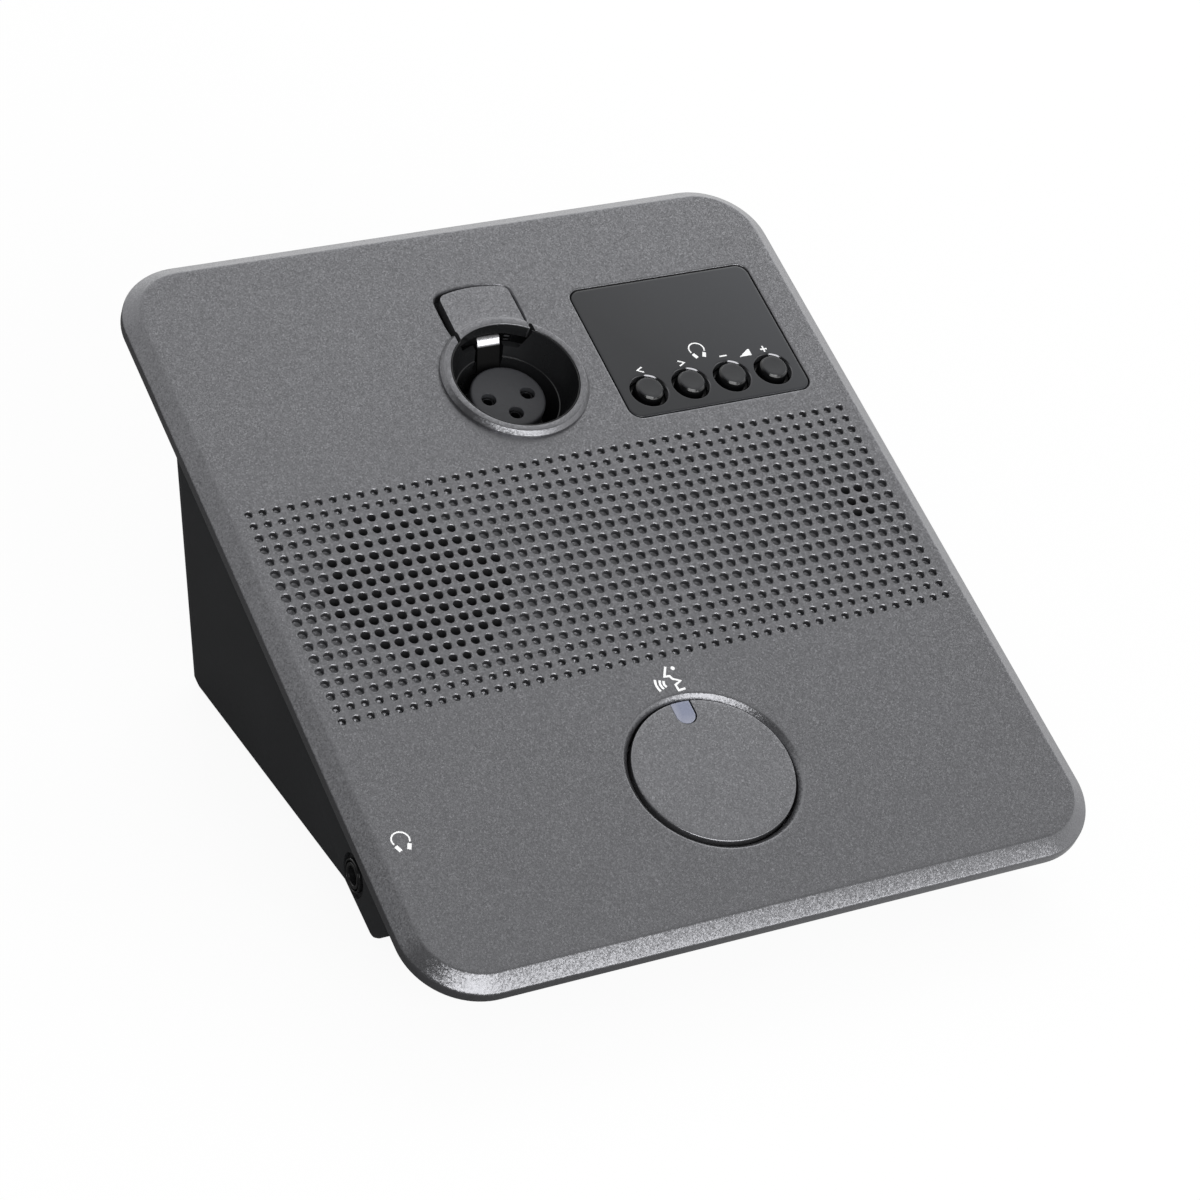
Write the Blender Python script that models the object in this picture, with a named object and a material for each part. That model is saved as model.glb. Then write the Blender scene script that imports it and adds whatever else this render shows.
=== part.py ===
"""Conference delegate unit: a sloping desk console with a locking three-pole microphone socket,
a display window with four keys, a loudspeaker behind a drilled panel and a large talk button.

Metres, +Z up. The front edge faces -Y. The origin lies on the table, under the middle of the
unit's outline. Most pieces hang under an empty that lies in the sloping panel's top face: there
x runs across the panel, y runs up the slope to the rear and z stands square on the panel. A
second empty lies in the housing's floor and a third on its rear wall.
"""
import math

import bmesh
import bpy
from mathutils import Vector

# Sloping panel: outline, edge and plate
PANEL_WIDTH = 0.138
PANEL_LENGTH = 0.1664
PANEL_CORNER = 0.014
CHAMFER_WIDTH = 0.003
CHAMFER_DROP = 0.00205
RIM_DEPTH = 0.0043
RIM_WALL = 0.002
PLATE = 0.0025

# Clearances shared by all pieces
FIT = 0.0003
OVERRUN = 0.002
SINK = 0.0005

# Drilled grille in the panel, and the round field of it that is open to the loudspeaker
HOLE_PITCH = 0.002773
GRILLE_TOP = 0.0218
HOLE_DIAMETER = 0.00185
EDGE_HOLE_DIAMETER = 0.00165
OUTER_HOLE_DIAMETER = 0.00145
BLIND_HOLE_DEPTH = 0.0016
GRILLE_SIDE_MARGIN = 0.0060
GRILLE_ROWS = 18
FIELD_COLUMN = 9
FIELD_ROW = 8
FIELD_REACH_ACROSS_SHARE = 6.28
FIELD_REACH_ALONG_SHARE = 6.40
FULL_HOLE_ROWS = range(5, 13)
OUTER_ROWS = 2
VENT_COLUMNS_FROM_END = (4, 3)
VENT_ROWS = (7, 8, 9)

# Housing under the panel, in the panel's frame: its side outline and its walls
SIDE_OVERHANG = 0.0050
HOUSING_WALL = 0.0018
REAR_OVERHANG = 0.0167
REAR_WALL_ANGLE = math.radians(52.9)
FLOOR_ANGLE = math.radians(22.97)
BEND_BACK = 0.0404
BEND_DEPTH = 0.0242
TOE_BACK = 0.0270
TOE_DEPTH = 0.0236
TOE_RADIUS = 0.003
SHELF_BACK = 0.0216
SHELF_DEPTH = 0.0128
SHELF_FRONT = 0.0100
FRONT_TOP = 0.0075
REAR_CORNER_RADIUS = 0.008
HOUSING_EDGE = 0.001
FOOT_PROUD = 0.0015

# Microphone socket: collar on the panel, black shell, insert and contacts
SOCKET_UP = 0.04206
COLLAR_RADIUS = 0.01475
COLLAR_TOP_RADIUS = 0.0140
COLLAR_BORE = 0.0127
COLLAR_HEIGHT = 0.0014
COLLAR_FOOT = 0.0005
SHELL_LIP = 0.0006
SHELL_WALL = 0.0005
FUNNEL_DEPTH = 0.00545
FUNNEL_END_RADIUS = 0.0104
BORE_RADIUS = 0.0096
BARREL_WALL = 0.0010
FLANGE_RADIUS = 0.0163
FLANGE_DEPTH = 0.0083
FLANGE_THICKNESS = 0.0015
SHELL_DEPTH = 0.0170
BACK_WALL = 0.0015
INSERT_RADIUS = 0.0075
INSERT_DEPTH = 0.0052
CONTACT_HOLE = 0.00165
CONTACT_RADIUS = 0.00135
CONTACT_BORE = 0.0009
CONTACT_DEPTH = 0.0062
CONTACT_SPREAD = 0.00414
CONTACT_TAIL = 0.0030
EAR_REACH = 0.0175
EAR_RADIUS = 0.0033
EAR_ANGLES = (math.radians(145), math.radians(-35))

# Release tab of the socket, its hinge pin, its steel latch and its spring
TAB_WIDTH = 0.0148
TAB_REACH = 0.0231
TAB_GAP = 0.00085
TAB_PROUD = 0.0009
TAB_UNDER = 0.0014
TAB_CORNER = 0.0018
PIVOT_UP = 0.0610
PIVOT_DEPTH = 0.0031
PIN_RADIUS = 0.00075
BARREL_RADIUS = 0.0019
BARREL_LENGTH = 0.0120
LUG_LENGTH = 0.0024
LUG_FOOT_SHARE = 0.5
LATCH_WIDTH = 0.0048
LATCH_SHEET = 0.0006
LATCH_SEAT_LENGTH = 0.0034
LATCH_REACH_DEPTH = 0.0080
LATCH_HOOK_IN = 0.0035
LATCH_SLOT_DEPTH = 0.0104
LATCH_SPRING_RADIUS = 0.0011
LATCH_SPRING_WIRE = 0.00022
LATCH_SPRING_ASIDE = 0.0050
LATCH_SPRING_UP = 0.0560

# Display window with its keys
WINDOW_WIDTH = 0.0396
WINDOW_HEIGHT = 0.0328
WINDOW_CORNER = 0.0024
WINDOW_FROM_EDGE = 0.0296
WINDOW_UP = 0.04435
LENS = 0.0015
LENS_RECESS = 0.0001
LEDGE_WIDTH = 0.0015
KEY_COUNT = 4
KEY_INSET = 0.0060
KEY_GAP = 0.0008
KEY_FLANGE_LAP = 0.0005
KEY_CLEARANCE = 0.00075
KEY_DROP = 0.01045
KEY_PROUD = 0.00085
KEY_BEVEL = 0.0004
KEY_FLANGE = 0.0007
KEY_TRAVEL = 0.0006
SWITCH_SIDE = 0.0060
SWITCH_HEIGHT = 0.0027
SWITCH_BORE = 0.0019
SWITCH_FLOOR = 0.0007
KEY_BOARD_DEPTH = 0.0080
BOARD = 0.0016
KEY_BOARD_WIDTH = 0.0410
KEY_BOARD_FRONT = 0.0224
KEY_BOARD_REAR = 0.0566
KEY_BOSS_UP = 0.0250
KEY_BOSS_INSET = 0.0050
BOARD_CORNER = 0.0015
DISPLAY_WIDTH = 0.0358
DISPLAY_HEIGHT = 0.0193

# Talk button
TALK_DROP = 0.0512
TALK_WELL_RADIUS = 0.01585
TALK_WELL_CHAMFER = 0.0010
TALK_RADIUS = 0.01535
TALK_RECESS = 0.0001
TALK_EDGE = 0.0005
TALK_TOP = 0.0020
TALK_SKIRT = 0.0015
TALK_GUIDE_WALL = 0.00175
TALK_GUIDE_DEPTH = 0.0070
TALK_FLANGE_RADIUS = 0.0172
TALK_FLANGE = 0.0009
TALK_STEM_RADIUS = 0.0028
TALK_STEM_DEPTH = 0.0086
TALK_TRAVEL = 0.0012
TALK_SPRING_RADIUS = 0.0062
TALK_SPRING_WIRE = 0.0004
LIGHT_WIDTH = 0.0042
LIGHT_LENGTH = 0.00505
LIGHT_FLANGE = 0.0008
LIGHT_FLANGE_LENGTH = 0.0038
LIGHT_POST_RADIUS = 0.0014
LAMP_SIDE = 0.0030
LAMP_HEIGHT = 0.0014

# Front board: carries the talk switch, the lamp and the headphone jack
FRONT_BOARD_DEPTH = 0.0140
FRONT_BOARD_SIDE_GAP = 0.0030
FRONT_BOARD_RIGHT = 0.0240
FRONT_BOARD_FRONT = 0.0572
FRONT_BOARD_REAR = 0.0364
FRONT_BOSS_LEFT = 0.0300
FRONT_BOSS_RIGHT = 0.0208
FRONT_BOSS_FRONT = 0.0542
FRONT_BOSS_REAR = 0.0410

# Headphone jack in the left wall
JACK_BACK = 0.0381
JACK_DEPTH = 0.0192
JACK_BODY_LENGTH = 0.0120
JACK_BODY_WIDTH = 0.0086
JACK_BODY_UNDER = 0.0025
JACK_END_WALL = 0.0010
JACK_BUSH_RADIUS = 0.0025
JACK_BORE = 0.0018
JACK_NUT_RADIUS = 0.0036
JACK_NUT = 0.0008
JACK_RECESS_RADIUS = 0.0042
JACK_RECESS = 0.0008

# Loudspeaker
SPEAKER_RADIUS = 0.0225
SPEAKER_CLOTH = 0.0004
GASKET = 0.0012
GASKET_RADIUS = 0.0182
BASKET_RIM = 0.0012
BASKET_RADIUS = 0.0195
BASKET_WALL = 0.0012
BASKET_FOOT_RADIUS = 0.0110
BASKET_DEPTH = 0.0100
CONE_RADIUS = 0.0175
CONE_NECK_RADIUS = 0.0055
CONE_DEPTH = 0.0062
CONE_SHEET = 0.0006
DOME_SHOULDER_SHARE = 0.6
MAGNET_RADIUS = 0.0120
MAGNET_HEIGHT = 0.0058
SPEAKER_SCREW_REACH = 0.0252
SPEAKER_SCREW_ANGLE = math.radians(60)
SPEAKER_EAR_RADIUS = 0.0030

# Case pillars, bosses and screws
PILLAR_INSET = 0.0070
PILLAR_FRONT = 0.0315
PILLAR_REAR = 0.0180
PILLAR_RADIUS = 0.0038
PILLAR_WEB = 0.0035
BOSS_RADIUS = 0.0032
BOSS_DEPTH = 0.0080
CASE_SCREW_RADIUS = 0.0014
CASE_HEAD_RADIUS = 0.0026
CASE_HEAD = 0.0018
CASE_SCREW_BITE = 0.0042
SMALL_SCREW_RADIUS = 0.0008
SMALL_HEAD_RADIUS = 0.0016
SMALL_HEAD = 0.0012
SMALL_BITE = 0.0026
SMALL_BOSS_RADIUS = 0.0024

# Main board on the housing's floor, with what stands on it
POST_HEIGHT = 0.0075
POST_RADIUS = 0.0030
MAIN_BOARD_SIDE_GAP = 0.0140
MAIN_BOARD_FRONT = 0.0230
MAIN_BOARD_REAR = 0.0755
POST_INSET = 0.0040
SOCKET_SPACING = 0.0160
NET_WIDTH = 0.0160
NET_HEIGHT = 0.0135
NET_LENGTH = 0.0170
NET_OVERHANG = 0.0028
NET_WALL = 0.0020
NET_MOUTH_DEPTH = 0.0120
NET_WINDOW_GAP = 0.0006
CHIP_SIDE = 0.0120
CHIP_HEIGHT = 0.0020

# Feet
REAR_FOOT_RADIUS = 0.0050
REAR_FOOT_FROM_SIDE = 0.0190
REAR_FOOT_IN = 0.0090
FRONT_FOOT_FROM_SIDE = 0.0200
FRONT_FOOT_LENGTH = 0.0180
FRONT_FOOT_WIDTH = 0.0060
FOOT_POCKET = 0.0008

# Leads and ribbons inside
RIBBON_WIDTH = 0.0120
RIBBON_THICKNESS = 0.0005
PLUG_LENGTH = 0.0140
PLUG_WIDTH = 0.0040
PLUG_HEIGHT = 0.0030
SOCKET_LEAD_RADIUS = 0.0017
SOCKET_PLUG_RADIUS = 0.0056
SPEAKER_LEAD_RADIUS = 0.0009
SPEAKER_PLUG_SIDE = 0.0040
LEAD_LANDING = 0.0300

# Facets round a circle
FINE = 40
MEDIUM = 24
COARSE = 10
HOLE_SIDES = 6
BLIND_HOLE_SIDES = 4
OUTER_BLIND_HOLE_SIDES = 3
CORNER_STEPS = 5
RUN_STEPS = 10
LEAD_SIDES = 8

# What follows from the driving sizes
HALF_LENGTH = PANEL_LENGTH / 2
HOUSING_WIDTH = PANEL_WIDTH - 2 * SIDE_OVERHANG
HALF_HOUSING = HOUSING_WIDTH / 2
GRILLE_COLUMNS = int((PANEL_WIDTH - 2 * GRILLE_SIDE_MARGIN) / HOLE_PITCH) + 1
WINDOW_ACROSS = PANEL_WIDTH / 2 - WINDOW_FROM_EDGE
KEY_SPACING = (WINDOW_WIDTH - 2 * KEY_INSET) / (KEY_COUNT - 1)
KEY_FLANGE_RADIUS = (KEY_SPACING - KEY_GAP) / 2
KEY_WELL_RADIUS = KEY_FLANGE_RADIUS - KEY_FLANGE_LAP
KEY_RADIUS = KEY_WELL_RADIUS - KEY_CLEARANCE
KEY_FACE_RADIUS = KEY_RADIUS - KEY_BEVEL
KEY_BOSS_ASIDE = KEY_BOARD_WIDTH / 2 - KEY_BOSS_INSET
PILLAR_ASIDE = HALF_HOUSING - PILLAR_INSET
MAIN_BOARD_WIDTH = HOUSING_WIDTH - 2 * MAIN_BOARD_SIDE_GAP
POST_ASIDE = MAIN_BOARD_WIDTH / 2 - POST_INSET
REAR_FOOT_ASIDE = HALF_HOUSING - REAR_FOOT_FROM_SIDE
FRONT_FOOT_ASIDE = HALF_HOUSING - FRONT_FOOT_FROM_SIDE
FRONT_BOARD_LEFT = HALF_HOUSING - FRONT_BOARD_SIDE_GAP
UNDERSIDE = -PLATE
HOUSING_TOP = UNDERSIDE - FIT
REAR_TOP = HALF_LENGTH - REAR_OVERHANG
BEND = Vector((BEND_BACK - HALF_LENGTH, -BEND_DEPTH))
TOE = Vector((TOE_BACK - HALF_LENGTH, -TOE_DEPTH))
REAR_SLOPE = math.tan(REAR_WALL_ANGLE)
FLOOR_SLOPE = math.tan(FLOOR_ANGLE)
CORNER_REACH = REAR_TOP * REAR_SLOPE - HOUSING_TOP + BEND.y + BEND.x * FLOOR_SLOPE
CORNER_UP = CORNER_REACH / (REAR_SLOPE + FLOOR_SLOPE)
REAR_CORNER = Vector((CORNER_UP, BEND.y - (CORNER_UP - BEND.x) * FLOOR_SLOPE))


def side_outline(shift):
    """The housing's side outline in the panel's frame, moved inwards by shift, rear wall left open.

    Moved inwards, it also stands open at the top.
    """
    rear = REAR_CORNER.x + HALF_LENGTH
    floor_rear = Vector((rear, BEND.y - (rear - BEND.x) * FLOOR_SLOPE))
    rise = 2 * shift
    lean = (SHELF_FRONT - FRONT_TOP) / (SHELF_DEPTH + HOUSING_TOP)
    corners = [
        Vector((rear, HOUSING_TOP + rise)),
        Vector((FRONT_TOP - HALF_LENGTH - lean * rise, HOUSING_TOP + rise)),
        Vector((SHELF_FRONT - HALF_LENGTH, -SHELF_DEPTH)),
        Vector((SHELF_BACK - HALF_LENGTH, -SHELF_DEPTH)),
        TOE.copy(),
        BEND.copy(),
        floor_rear,
    ]
    return filleted(inset(corners, shift), 4, TOE_RADIUS - shift, CORNER_STEPS)


def inset(corners, distance):
    """A closed outline with each side moved inwards by distance; the corners run anticlockwise."""
    moved = []
    for index, corner in enumerate(corners):
        before = (corner - corners[index - 1]).normalized()
        after = (corners[(index + 1) % len(corners)] - corner).normalized()
        normal_before = Vector((-before.y, before.x))
        normal_after = Vector((-after.y, after.x))
        bisector = (normal_before + normal_after).normalized()
        moved.append(corner + bisector * (distance / bisector.dot(normal_before)))
    return moved


def filleted(corners, index, radius, steps):
    """A closed outline with one corner turned into an arc of the given radius."""
    corner = corners[index]
    back = (corners[index - 1] - corner).normalized()
    ahead = (corners[(index + 1) % len(corners)] - corner).normalized()
    half_angle = back.angle(ahead) / 2
    centre = corner + (back + ahead).normalized() * (radius / math.sin(half_angle))
    start = corner + back * (radius / math.tan(half_angle)) - centre
    end = corner + ahead * (radius / math.tan(half_angle)) - centre
    sweep = start.angle_signed(end)
    arc = [centre + turned_by(start, -sweep * step / steps) for step in range(steps + 1)]
    return corners[:index] + arc + corners[index + 1:]


def turned_by(vector, angle):
    """A plane vector turned anticlockwise by an angle."""
    cosine, sine = math.cos(angle), math.sin(angle)
    return Vector((vector.x * cosine - vector.y * sine, vector.x * sine + vector.y * cosine))


def table_tilt():
    """The slope at which the toe's rounded tip and the rear corner stand level."""
    back = (TOE - BEND).normalized()
    ahead = (Vector((SHELF_BACK - HALF_LENGTH, -SHELF_DEPTH)) - TOE).normalized()
    half_angle = (-back).angle(ahead) / 2
    centre = TOE + (ahead - back).normalized() * (TOE_RADIUS / math.sin(half_angle))
    reach = centre - REAR_CORNER
    return math.atan2(reach.y, -reach.x) - math.asin(TOE_RADIUS / reach.length)


TILT = table_tilt()
FAR_EDGE_Y = HALF_LENGTH * math.cos(TILT) + RIM_DEPTH * math.sin(TILT)
NEAR_EDGE_Y = -HALF_LENGTH * math.cos(TILT) + CHAMFER_DROP * math.sin(TILT)
PANEL_Y = -(FAR_EDGE_Y + NEAR_EDGE_Y) / 2
PANEL_Z = FOOT_PROUD - REAR_CORNER.x * math.sin(TILT) - REAR_CORNER.y * math.cos(TILT)


def clear_scene():
    """Takes out whatever the scene holds."""
    for obj in list(bpy.data.objects):
        bpy.data.objects.remove(obj, do_unlink=True)


def new_material(name, colour, roughness, metallic=0.0):
    """A plain finish: linear colour, roughness and metallic value."""
    material = bpy.data.materials.new(name)
    material.use_nodes = True
    shader = material.node_tree.nodes["Principled BSDF"]
    shader.inputs["Base Color"].default_value = (*colour, 1)
    shader.inputs["Roughness"].default_value = roughness
    shader.inputs["Metallic"].default_value = metallic
    return material


def make_materials():
    """All finishes of the unit, by name."""
    return {
        "grey_paint": new_material("grey_paint", (0.165, 0.163, 0.168), 0.45, 0.25),
        "black_plastic": new_material("black_plastic", (0.024, 0.025, 0.026), 0.55),
        "smoked_window": new_material("smoked_window", (0.065, 0.067, 0.070), 0.12),
        "key_plastic": new_material("key_plastic", (0.045, 0.046, 0.048), 0.3),
        "display_glass": new_material("display_glass", (0.010, 0.011, 0.012), 0.1),
        "board_green": new_material("board_green", (0.012, 0.09, 0.04), 0.5),
        "lamp_window": new_material("lamp_window", (0.26, 0.28, 0.38), 0.35),
        "lamp": new_material("lamp", (0.6, 0.6, 0.62), 0.3),
        "steel": new_material("steel", (0.60, 0.60, 0.61), 0.28, 1.0),
        "contact_metal": new_material("contact_metal", (0.72, 0.66, 0.48), 0.3, 1.0),
        "magnet_metal": new_material("magnet_metal", (0.32, 0.32, 0.33), 0.4, 1.0),
        "cone_paper": new_material("cone_paper", (0.02, 0.02, 0.02), 0.9),
        "black_cloth": new_material("black_cloth", (0.008, 0.008, 0.009), 0.95),
        "gasket_foam": new_material("gasket_foam", (0.02, 0.02, 0.02), 0.95),
        "foot_rubber": new_material("foot_rubber", (0.015, 0.015, 0.016), 0.85),
        "ribbon": new_material("ribbon", (0.35, 0.36, 0.38), 0.6),
        "lead_vinyl": new_material("lead_vinyl", (0.02, 0.02, 0.02), 0.5),
        "screw_steel": new_material("screw_steel", (0.16, 0.16, 0.17), 0.35, 1.0),
    }


def new_frame(name, parent, place, turn=0.0):
    """An empty that carries pieces: its place in its parent's frame and its turn about x."""
    empty = bpy.data.objects.new(name, None)
    bpy.context.scene.collection.objects.link(empty)
    empty.parent = parent
    empty.location = place
    empty.rotation_euler = (turn, 0, 0)
    empty.empty_display_size = FLANGE_RADIUS
    return empty


def circle(radius, sides, across=0.0, along=0.0):
    """Points on a circle in the plane, anticlockwise."""
    angles = [math.tau * step / sides for step in range(sides)]
    return [(across + radius * math.cos(a), along + radius * math.sin(a)) for a in angles]


def rounded_rectangle(width, height, radius, across=0.0, along=0.0, steps=CORNER_STEPS):
    """A rectangle with arcs at its corners, anticlockwise."""
    points = []
    for quarter, (sign_x, sign_y) in enumerate(((1, 1), (-1, 1), (-1, -1), (1, -1))):
        centre_x = across + sign_x * (width / 2 - radius)
        centre_y = along + sign_y * (height / 2 - radius)
        for step in range(steps + 1):
            angle = math.pi / 2 * (quarter + step / steps)
            points.append((centre_x + radius * math.cos(angle), centre_y + radius * math.sin(angle)))
    return points


def rectangle(width, height, across=0.0, along=0.0):
    """A plain rectangle, anticlockwise."""
    x, y = width / 2, height / 2
    return [(across + x, along + y), (across - x, along + y), (across - x, along - y),
            (across + x, along - y)]


def loft(rings, closed=False):
    """A solid through rings of equally many points; closed joins the last ring to the first."""
    count = len(rings[0])
    vertices = [point for ring in rings for point in ring]
    faces = []
    last = len(rings) if closed else len(rings) - 1
    for ring in range(last):
        here, there = ring * count, (ring + 1) % len(rings) * count
        for index in range(count):
            after = (index + 1) % count
            faces.append((here + index, here + after, there + after, there + index))
    if not closed:
        faces.append(tuple(range(count)))
        faces.append(tuple(range((len(rings) - 1) * count, len(rings) * count)))
    return vertices, faces


def prism(outline, low, high):
    """An outline in the x-y plane made thick between two heights."""
    return loft([[(x, y, height) for x, y in outline] for height in (low, high)])


def cross_prism(outline, left, right):
    """An outline in the y-z plane made thick between two places across the unit."""
    return loft([[(across, y, z) for y, z in outline] for across in (left, right)])


def turned(profile, sides, across=0.0, along=0.0):
    """A profile of (radius, height) turned about z; one that ends on the axis closes there."""
    vertices, rings = [], []
    for radius, height in profile:
        points = circle(radius, sides, across, along) if radius else [(across, along)]
        rings.append(range(len(vertices), len(vertices) + len(points)))
        vertices += [(x, y, height) for x, y in points]
    open_ends = profile[0][0] == 0
    faces = []
    for index in range(len(rings) - (1 if open_ends else 0)):
        first, second = rings[index], rings[(index + 1) % len(rings)]
        for step in range(sides):
            after = (step + 1) % sides
            corners = [first[step % len(first)], first[after % len(first)],
                       second[after % len(second)], second[step % len(second)]]
            faces.append(tuple(dict.fromkeys(corners)))
    return vertices, faces


def cross_turned(profile, sides, along, height):
    """A profile of (radius, place across) turned about a line parallel to x."""
    vertices, faces = turned(profile, sides)
    return [(z, x + along, y + height) for x, y, z in vertices], faces


def rod(radius, low, high, sides, across=0.0, along=0.0):
    """A plain round bar standing on z."""
    return prism(circle(radius, sides, across, along), low, high)


def tube(points, radius, sides):
    """A round lead along a row of points."""
    rings = []
    path = [Vector(point) for point in points]
    for index, point in enumerate(path):
        ahead = path[min(index + 1, len(path) - 1)] - path[max(index - 1, 0)]
        side = ahead.cross(Vector((1, 0, 0))).normalized()
        upright = side.cross(ahead.normalized())
        rings.append([point + side * x + upright * y for x, y in circle(radius, sides)])
    return loft(rings)


def coil(radius, wire, low, high, turns, steps, sides, across=0.0, along=0.0):
    """A compression spring: one open helix of round wire that stands between two heights."""
    count = turns * steps
    bottom, top = low + wire, high - wire
    rings = []
    for index in range(count + 1):
        angle = math.tau * index / steps
        height = bottom + (top - bottom) * index / count
        ring = []
        for around in range(sides):
            phase = math.tau * around / sides
            reach = radius + wire * math.cos(phase)
            ring.append((across + reach * math.cos(angle), along + reach * math.sin(angle),
                         height + wire * math.sin(phase)))
        rings.append(ring)
    return loft(rings)


def band(points, thickness, left, right):
    """A flat ribbon across x that follows a row of (y, z) points."""
    upper, lower = [], []
    path = [Vector(point) for point in points]
    for index, point in enumerate(path):
        ahead = (path[min(index + 1, len(path) - 1)] - path[max(index - 1, 0)]).normalized()
        normal = Vector((-ahead.y, ahead.x)) * (thickness / 2)
        upper.append(point + normal)
        lower.append(point - normal)
    return cross_prism(upper + lower[::-1], left, right)


def joined(solids):
    """Several solids as one list of vertices and one of faces."""
    vertices, faces = [], []
    for part_vertices, part_faces in solids:
        base = len(vertices)
        vertices += part_vertices
        faces += [tuple(base + index for index in face) for face in part_faces]
    return vertices, faces


def numbered(name, solids, parent, material):
    """Like objects, one for each solid, named with a number."""
    return [new_object(f"{name}_{index}", [solid], parent, material)
            for index, solid in enumerate(solids, 1)]


def new_object(name, solids, parent, material=None):
    """An object of one or more closed solids, faces turned outwards."""
    vertices, faces = joined(solids)
    mesh = bpy.data.meshes.new(name)
    mesh.from_pydata([tuple(vertex) for vertex in vertices], [], faces)
    shape = bmesh.new()
    shape.from_mesh(mesh)
    bmesh.ops.recalc_face_normals(shape, faces=shape.faces)
    shape.to_mesh(mesh)
    shape.free()
    obj = bpy.data.objects.new(name, mesh)
    bpy.context.scene.collection.objects.link(obj)
    obj.parent = parent
    if material:
        mesh.materials.append(material)
        mesh.shade_smooth()
        mesh.set_sharp_from_angle(angle=math.radians(35))
    return obj


def combine(target, solids, operation, label):
    """Adds, cuts or keeps solids on an object with an exact Boolean; returns the hidden helper."""
    helper = new_object(target.name + "_" + label, solids, target.parent)
    return combine_with(target, helper, operation)


def combine_with(target, helper, operation):
    """The same with a helper object that exists already."""
    helper.hide_render = True
    helper.display_type = "WIRE"
    modifier = target.modifiers.new(operation.title(), "BOOLEAN")
    modifier.operation = operation
    modifier.solver = "EXACT"
    modifier.object = helper
    return helper


def soften(target, width, segments):
    """Rounds an object's hard edges."""
    modifier = target.modifiers.new("Edges", "BEVEL")
    modifier.width = width
    modifier.segments = segments
    modifier.limit_method = "ANGLE"
    modifier.angle_limit = math.radians(35)


def screw_solid(place, head_top, head_height, head_radius, shank_radius, shank_top, sides):
    """One screw that points up: a round head under its seat and a plain shank."""
    across, along = place
    profile = [(0, shank_top), (shank_radius, shank_top), (shank_radius, head_top),
               (head_radius, head_top), (head_radius, head_top - head_height), (0, head_top - head_height)]
    return turned(profile, sides, across, along)


def hole_place(column, row):
    """The place of one hole of the grille's lattice."""
    across = (column - (GRILLE_COLUMNS - 1) / 2) * HOLE_PITCH
    return across, GRILLE_TOP - row * HOLE_PITCH


def in_outer_rows(row):
    """Whether a row is one of the grille's first or last few, which have its smallest holes."""
    return min(row, GRILLE_ROWS - 1 - row) < OUTER_ROWS


def hole_diameter(row):
    """The size of a row's holes, which grows from the grille's first and last rows to its middle."""
    if row in FULL_HOLE_ROWS:
        return HOLE_DIAMETER
    return OUTER_HOLE_DIAMETER if in_outer_rows(row) else EDGE_HOLE_DIAMETER


def blind_hole(column, row):
    """A cutter for a hole that ends in the plate: a few-sided pit, as wide in area as the hole."""
    sides = OUTER_BLIND_HOLE_SIDES if in_outer_rows(row) else BLIND_HOLE_SIDES
    radius = hole_diameter(row) / 2 * math.sqrt(math.tau / sides / math.sin(math.tau / sides))
    mouth = radius * (BLIND_HOLE_DEPTH + OVERRUN) / BLIND_HOLE_DEPTH
    return turned([(0, OVERRUN), (mouth, OVERRUN), (0, -BLIND_HOLE_DEPTH)], sides, *hole_place(column, row))


def blind_holes():
    """Cutters for every hole of the lattice that doesn't go through the plate."""
    through = set(field_holes()) | set(vent_holes())
    return [blind_hole(column, row) for row in range(GRILLE_ROWS) for column in range(GRILLE_COLUMNS)
            if (column, row) not in through]


def vent_holes():
    """Column and row of each hole of the small vent near the grille's right end."""
    return [(GRILLE_COLUMNS - column, row) for column in VENT_COLUMNS_FROM_END for row in VENT_ROWS]


def field_holes():
    """Column and row of each hole that is open to the loudspeaker: an oval field of the lattice."""
    reach_across = math.ceil(FIELD_REACH_ACROSS_SHARE)
    reach_along = math.ceil(FIELD_REACH_ALONG_SHARE)
    holes = []
    for row in range(-reach_along, reach_along + 1):
        for column in range(-reach_across, reach_across + 1):
            span = math.hypot(column / FIELD_REACH_ACROSS_SHARE, row / FIELD_REACH_ALONG_SHARE)
            if span <= 1:
                holes.append((FIELD_COLUMN + column, FIELD_ROW + row))
    return holes


def key_places():
    """Where the four keys stand in the panel's frame."""
    along = WINDOW_UP - KEY_DROP
    first = WINDOW_ACROSS - KEY_SPACING * (KEY_COUNT - 1) / 2
    return [(first + index * KEY_SPACING, along) for index in range(KEY_COUNT)]


def pillar_places():
    """Where the case screws stand in the panel's frame."""
    return [(side * PILLAR_ASIDE, along) for side in (-1, 1) for along in (-PILLAR_FRONT, PILLAR_REAR)]


def ear_places():
    """Where the socket's two screws stand in the panel's frame."""
    return [(EAR_REACH * math.cos(a), SOCKET_UP + EAR_REACH * math.sin(a)) for a in EAR_ANGLES]


def key_boss_places():
    """The key board's screws, in front of the window."""
    return [(WINDOW_ACROSS + side * KEY_BOSS_ASIDE, KEY_BOSS_UP) for side in (-1, 1)]


def front_boss_places():
    """The front board's screws, on either side of the talk button."""
    return [(-FRONT_BOSS_LEFT, -FRONT_BOSS_REAR), (FRONT_BOSS_RIGHT, -FRONT_BOSS_FRONT)]


def speaker_place():
    """The middle of the loudspeaker, under the middle of its field of holes."""
    return hole_place(FIELD_COLUMN, FIELD_ROW)


def speaker_screw_places():
    """The loudspeaker's two screws, opposite each other."""
    across, along = speaker_place()
    aside = SPEAKER_SCREW_REACH * math.cos(SPEAKER_SCREW_ANGLE)
    ahead = SPEAKER_SCREW_REACH * math.sin(SPEAKER_SCREW_ANGLE)
    return [(across + side * aside, along + side * ahead) for side in (-1, 1)]


SPEAKER_SEAT = UNDERSIDE - FIT - SPEAKER_CLOTH - FIT - GASKET - FIT
FLANGE_TOP = -FLANGE_DEPTH
CUT_HALF_WIDTH = TAB_WIDTH / 2 + TAB_GAP


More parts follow.
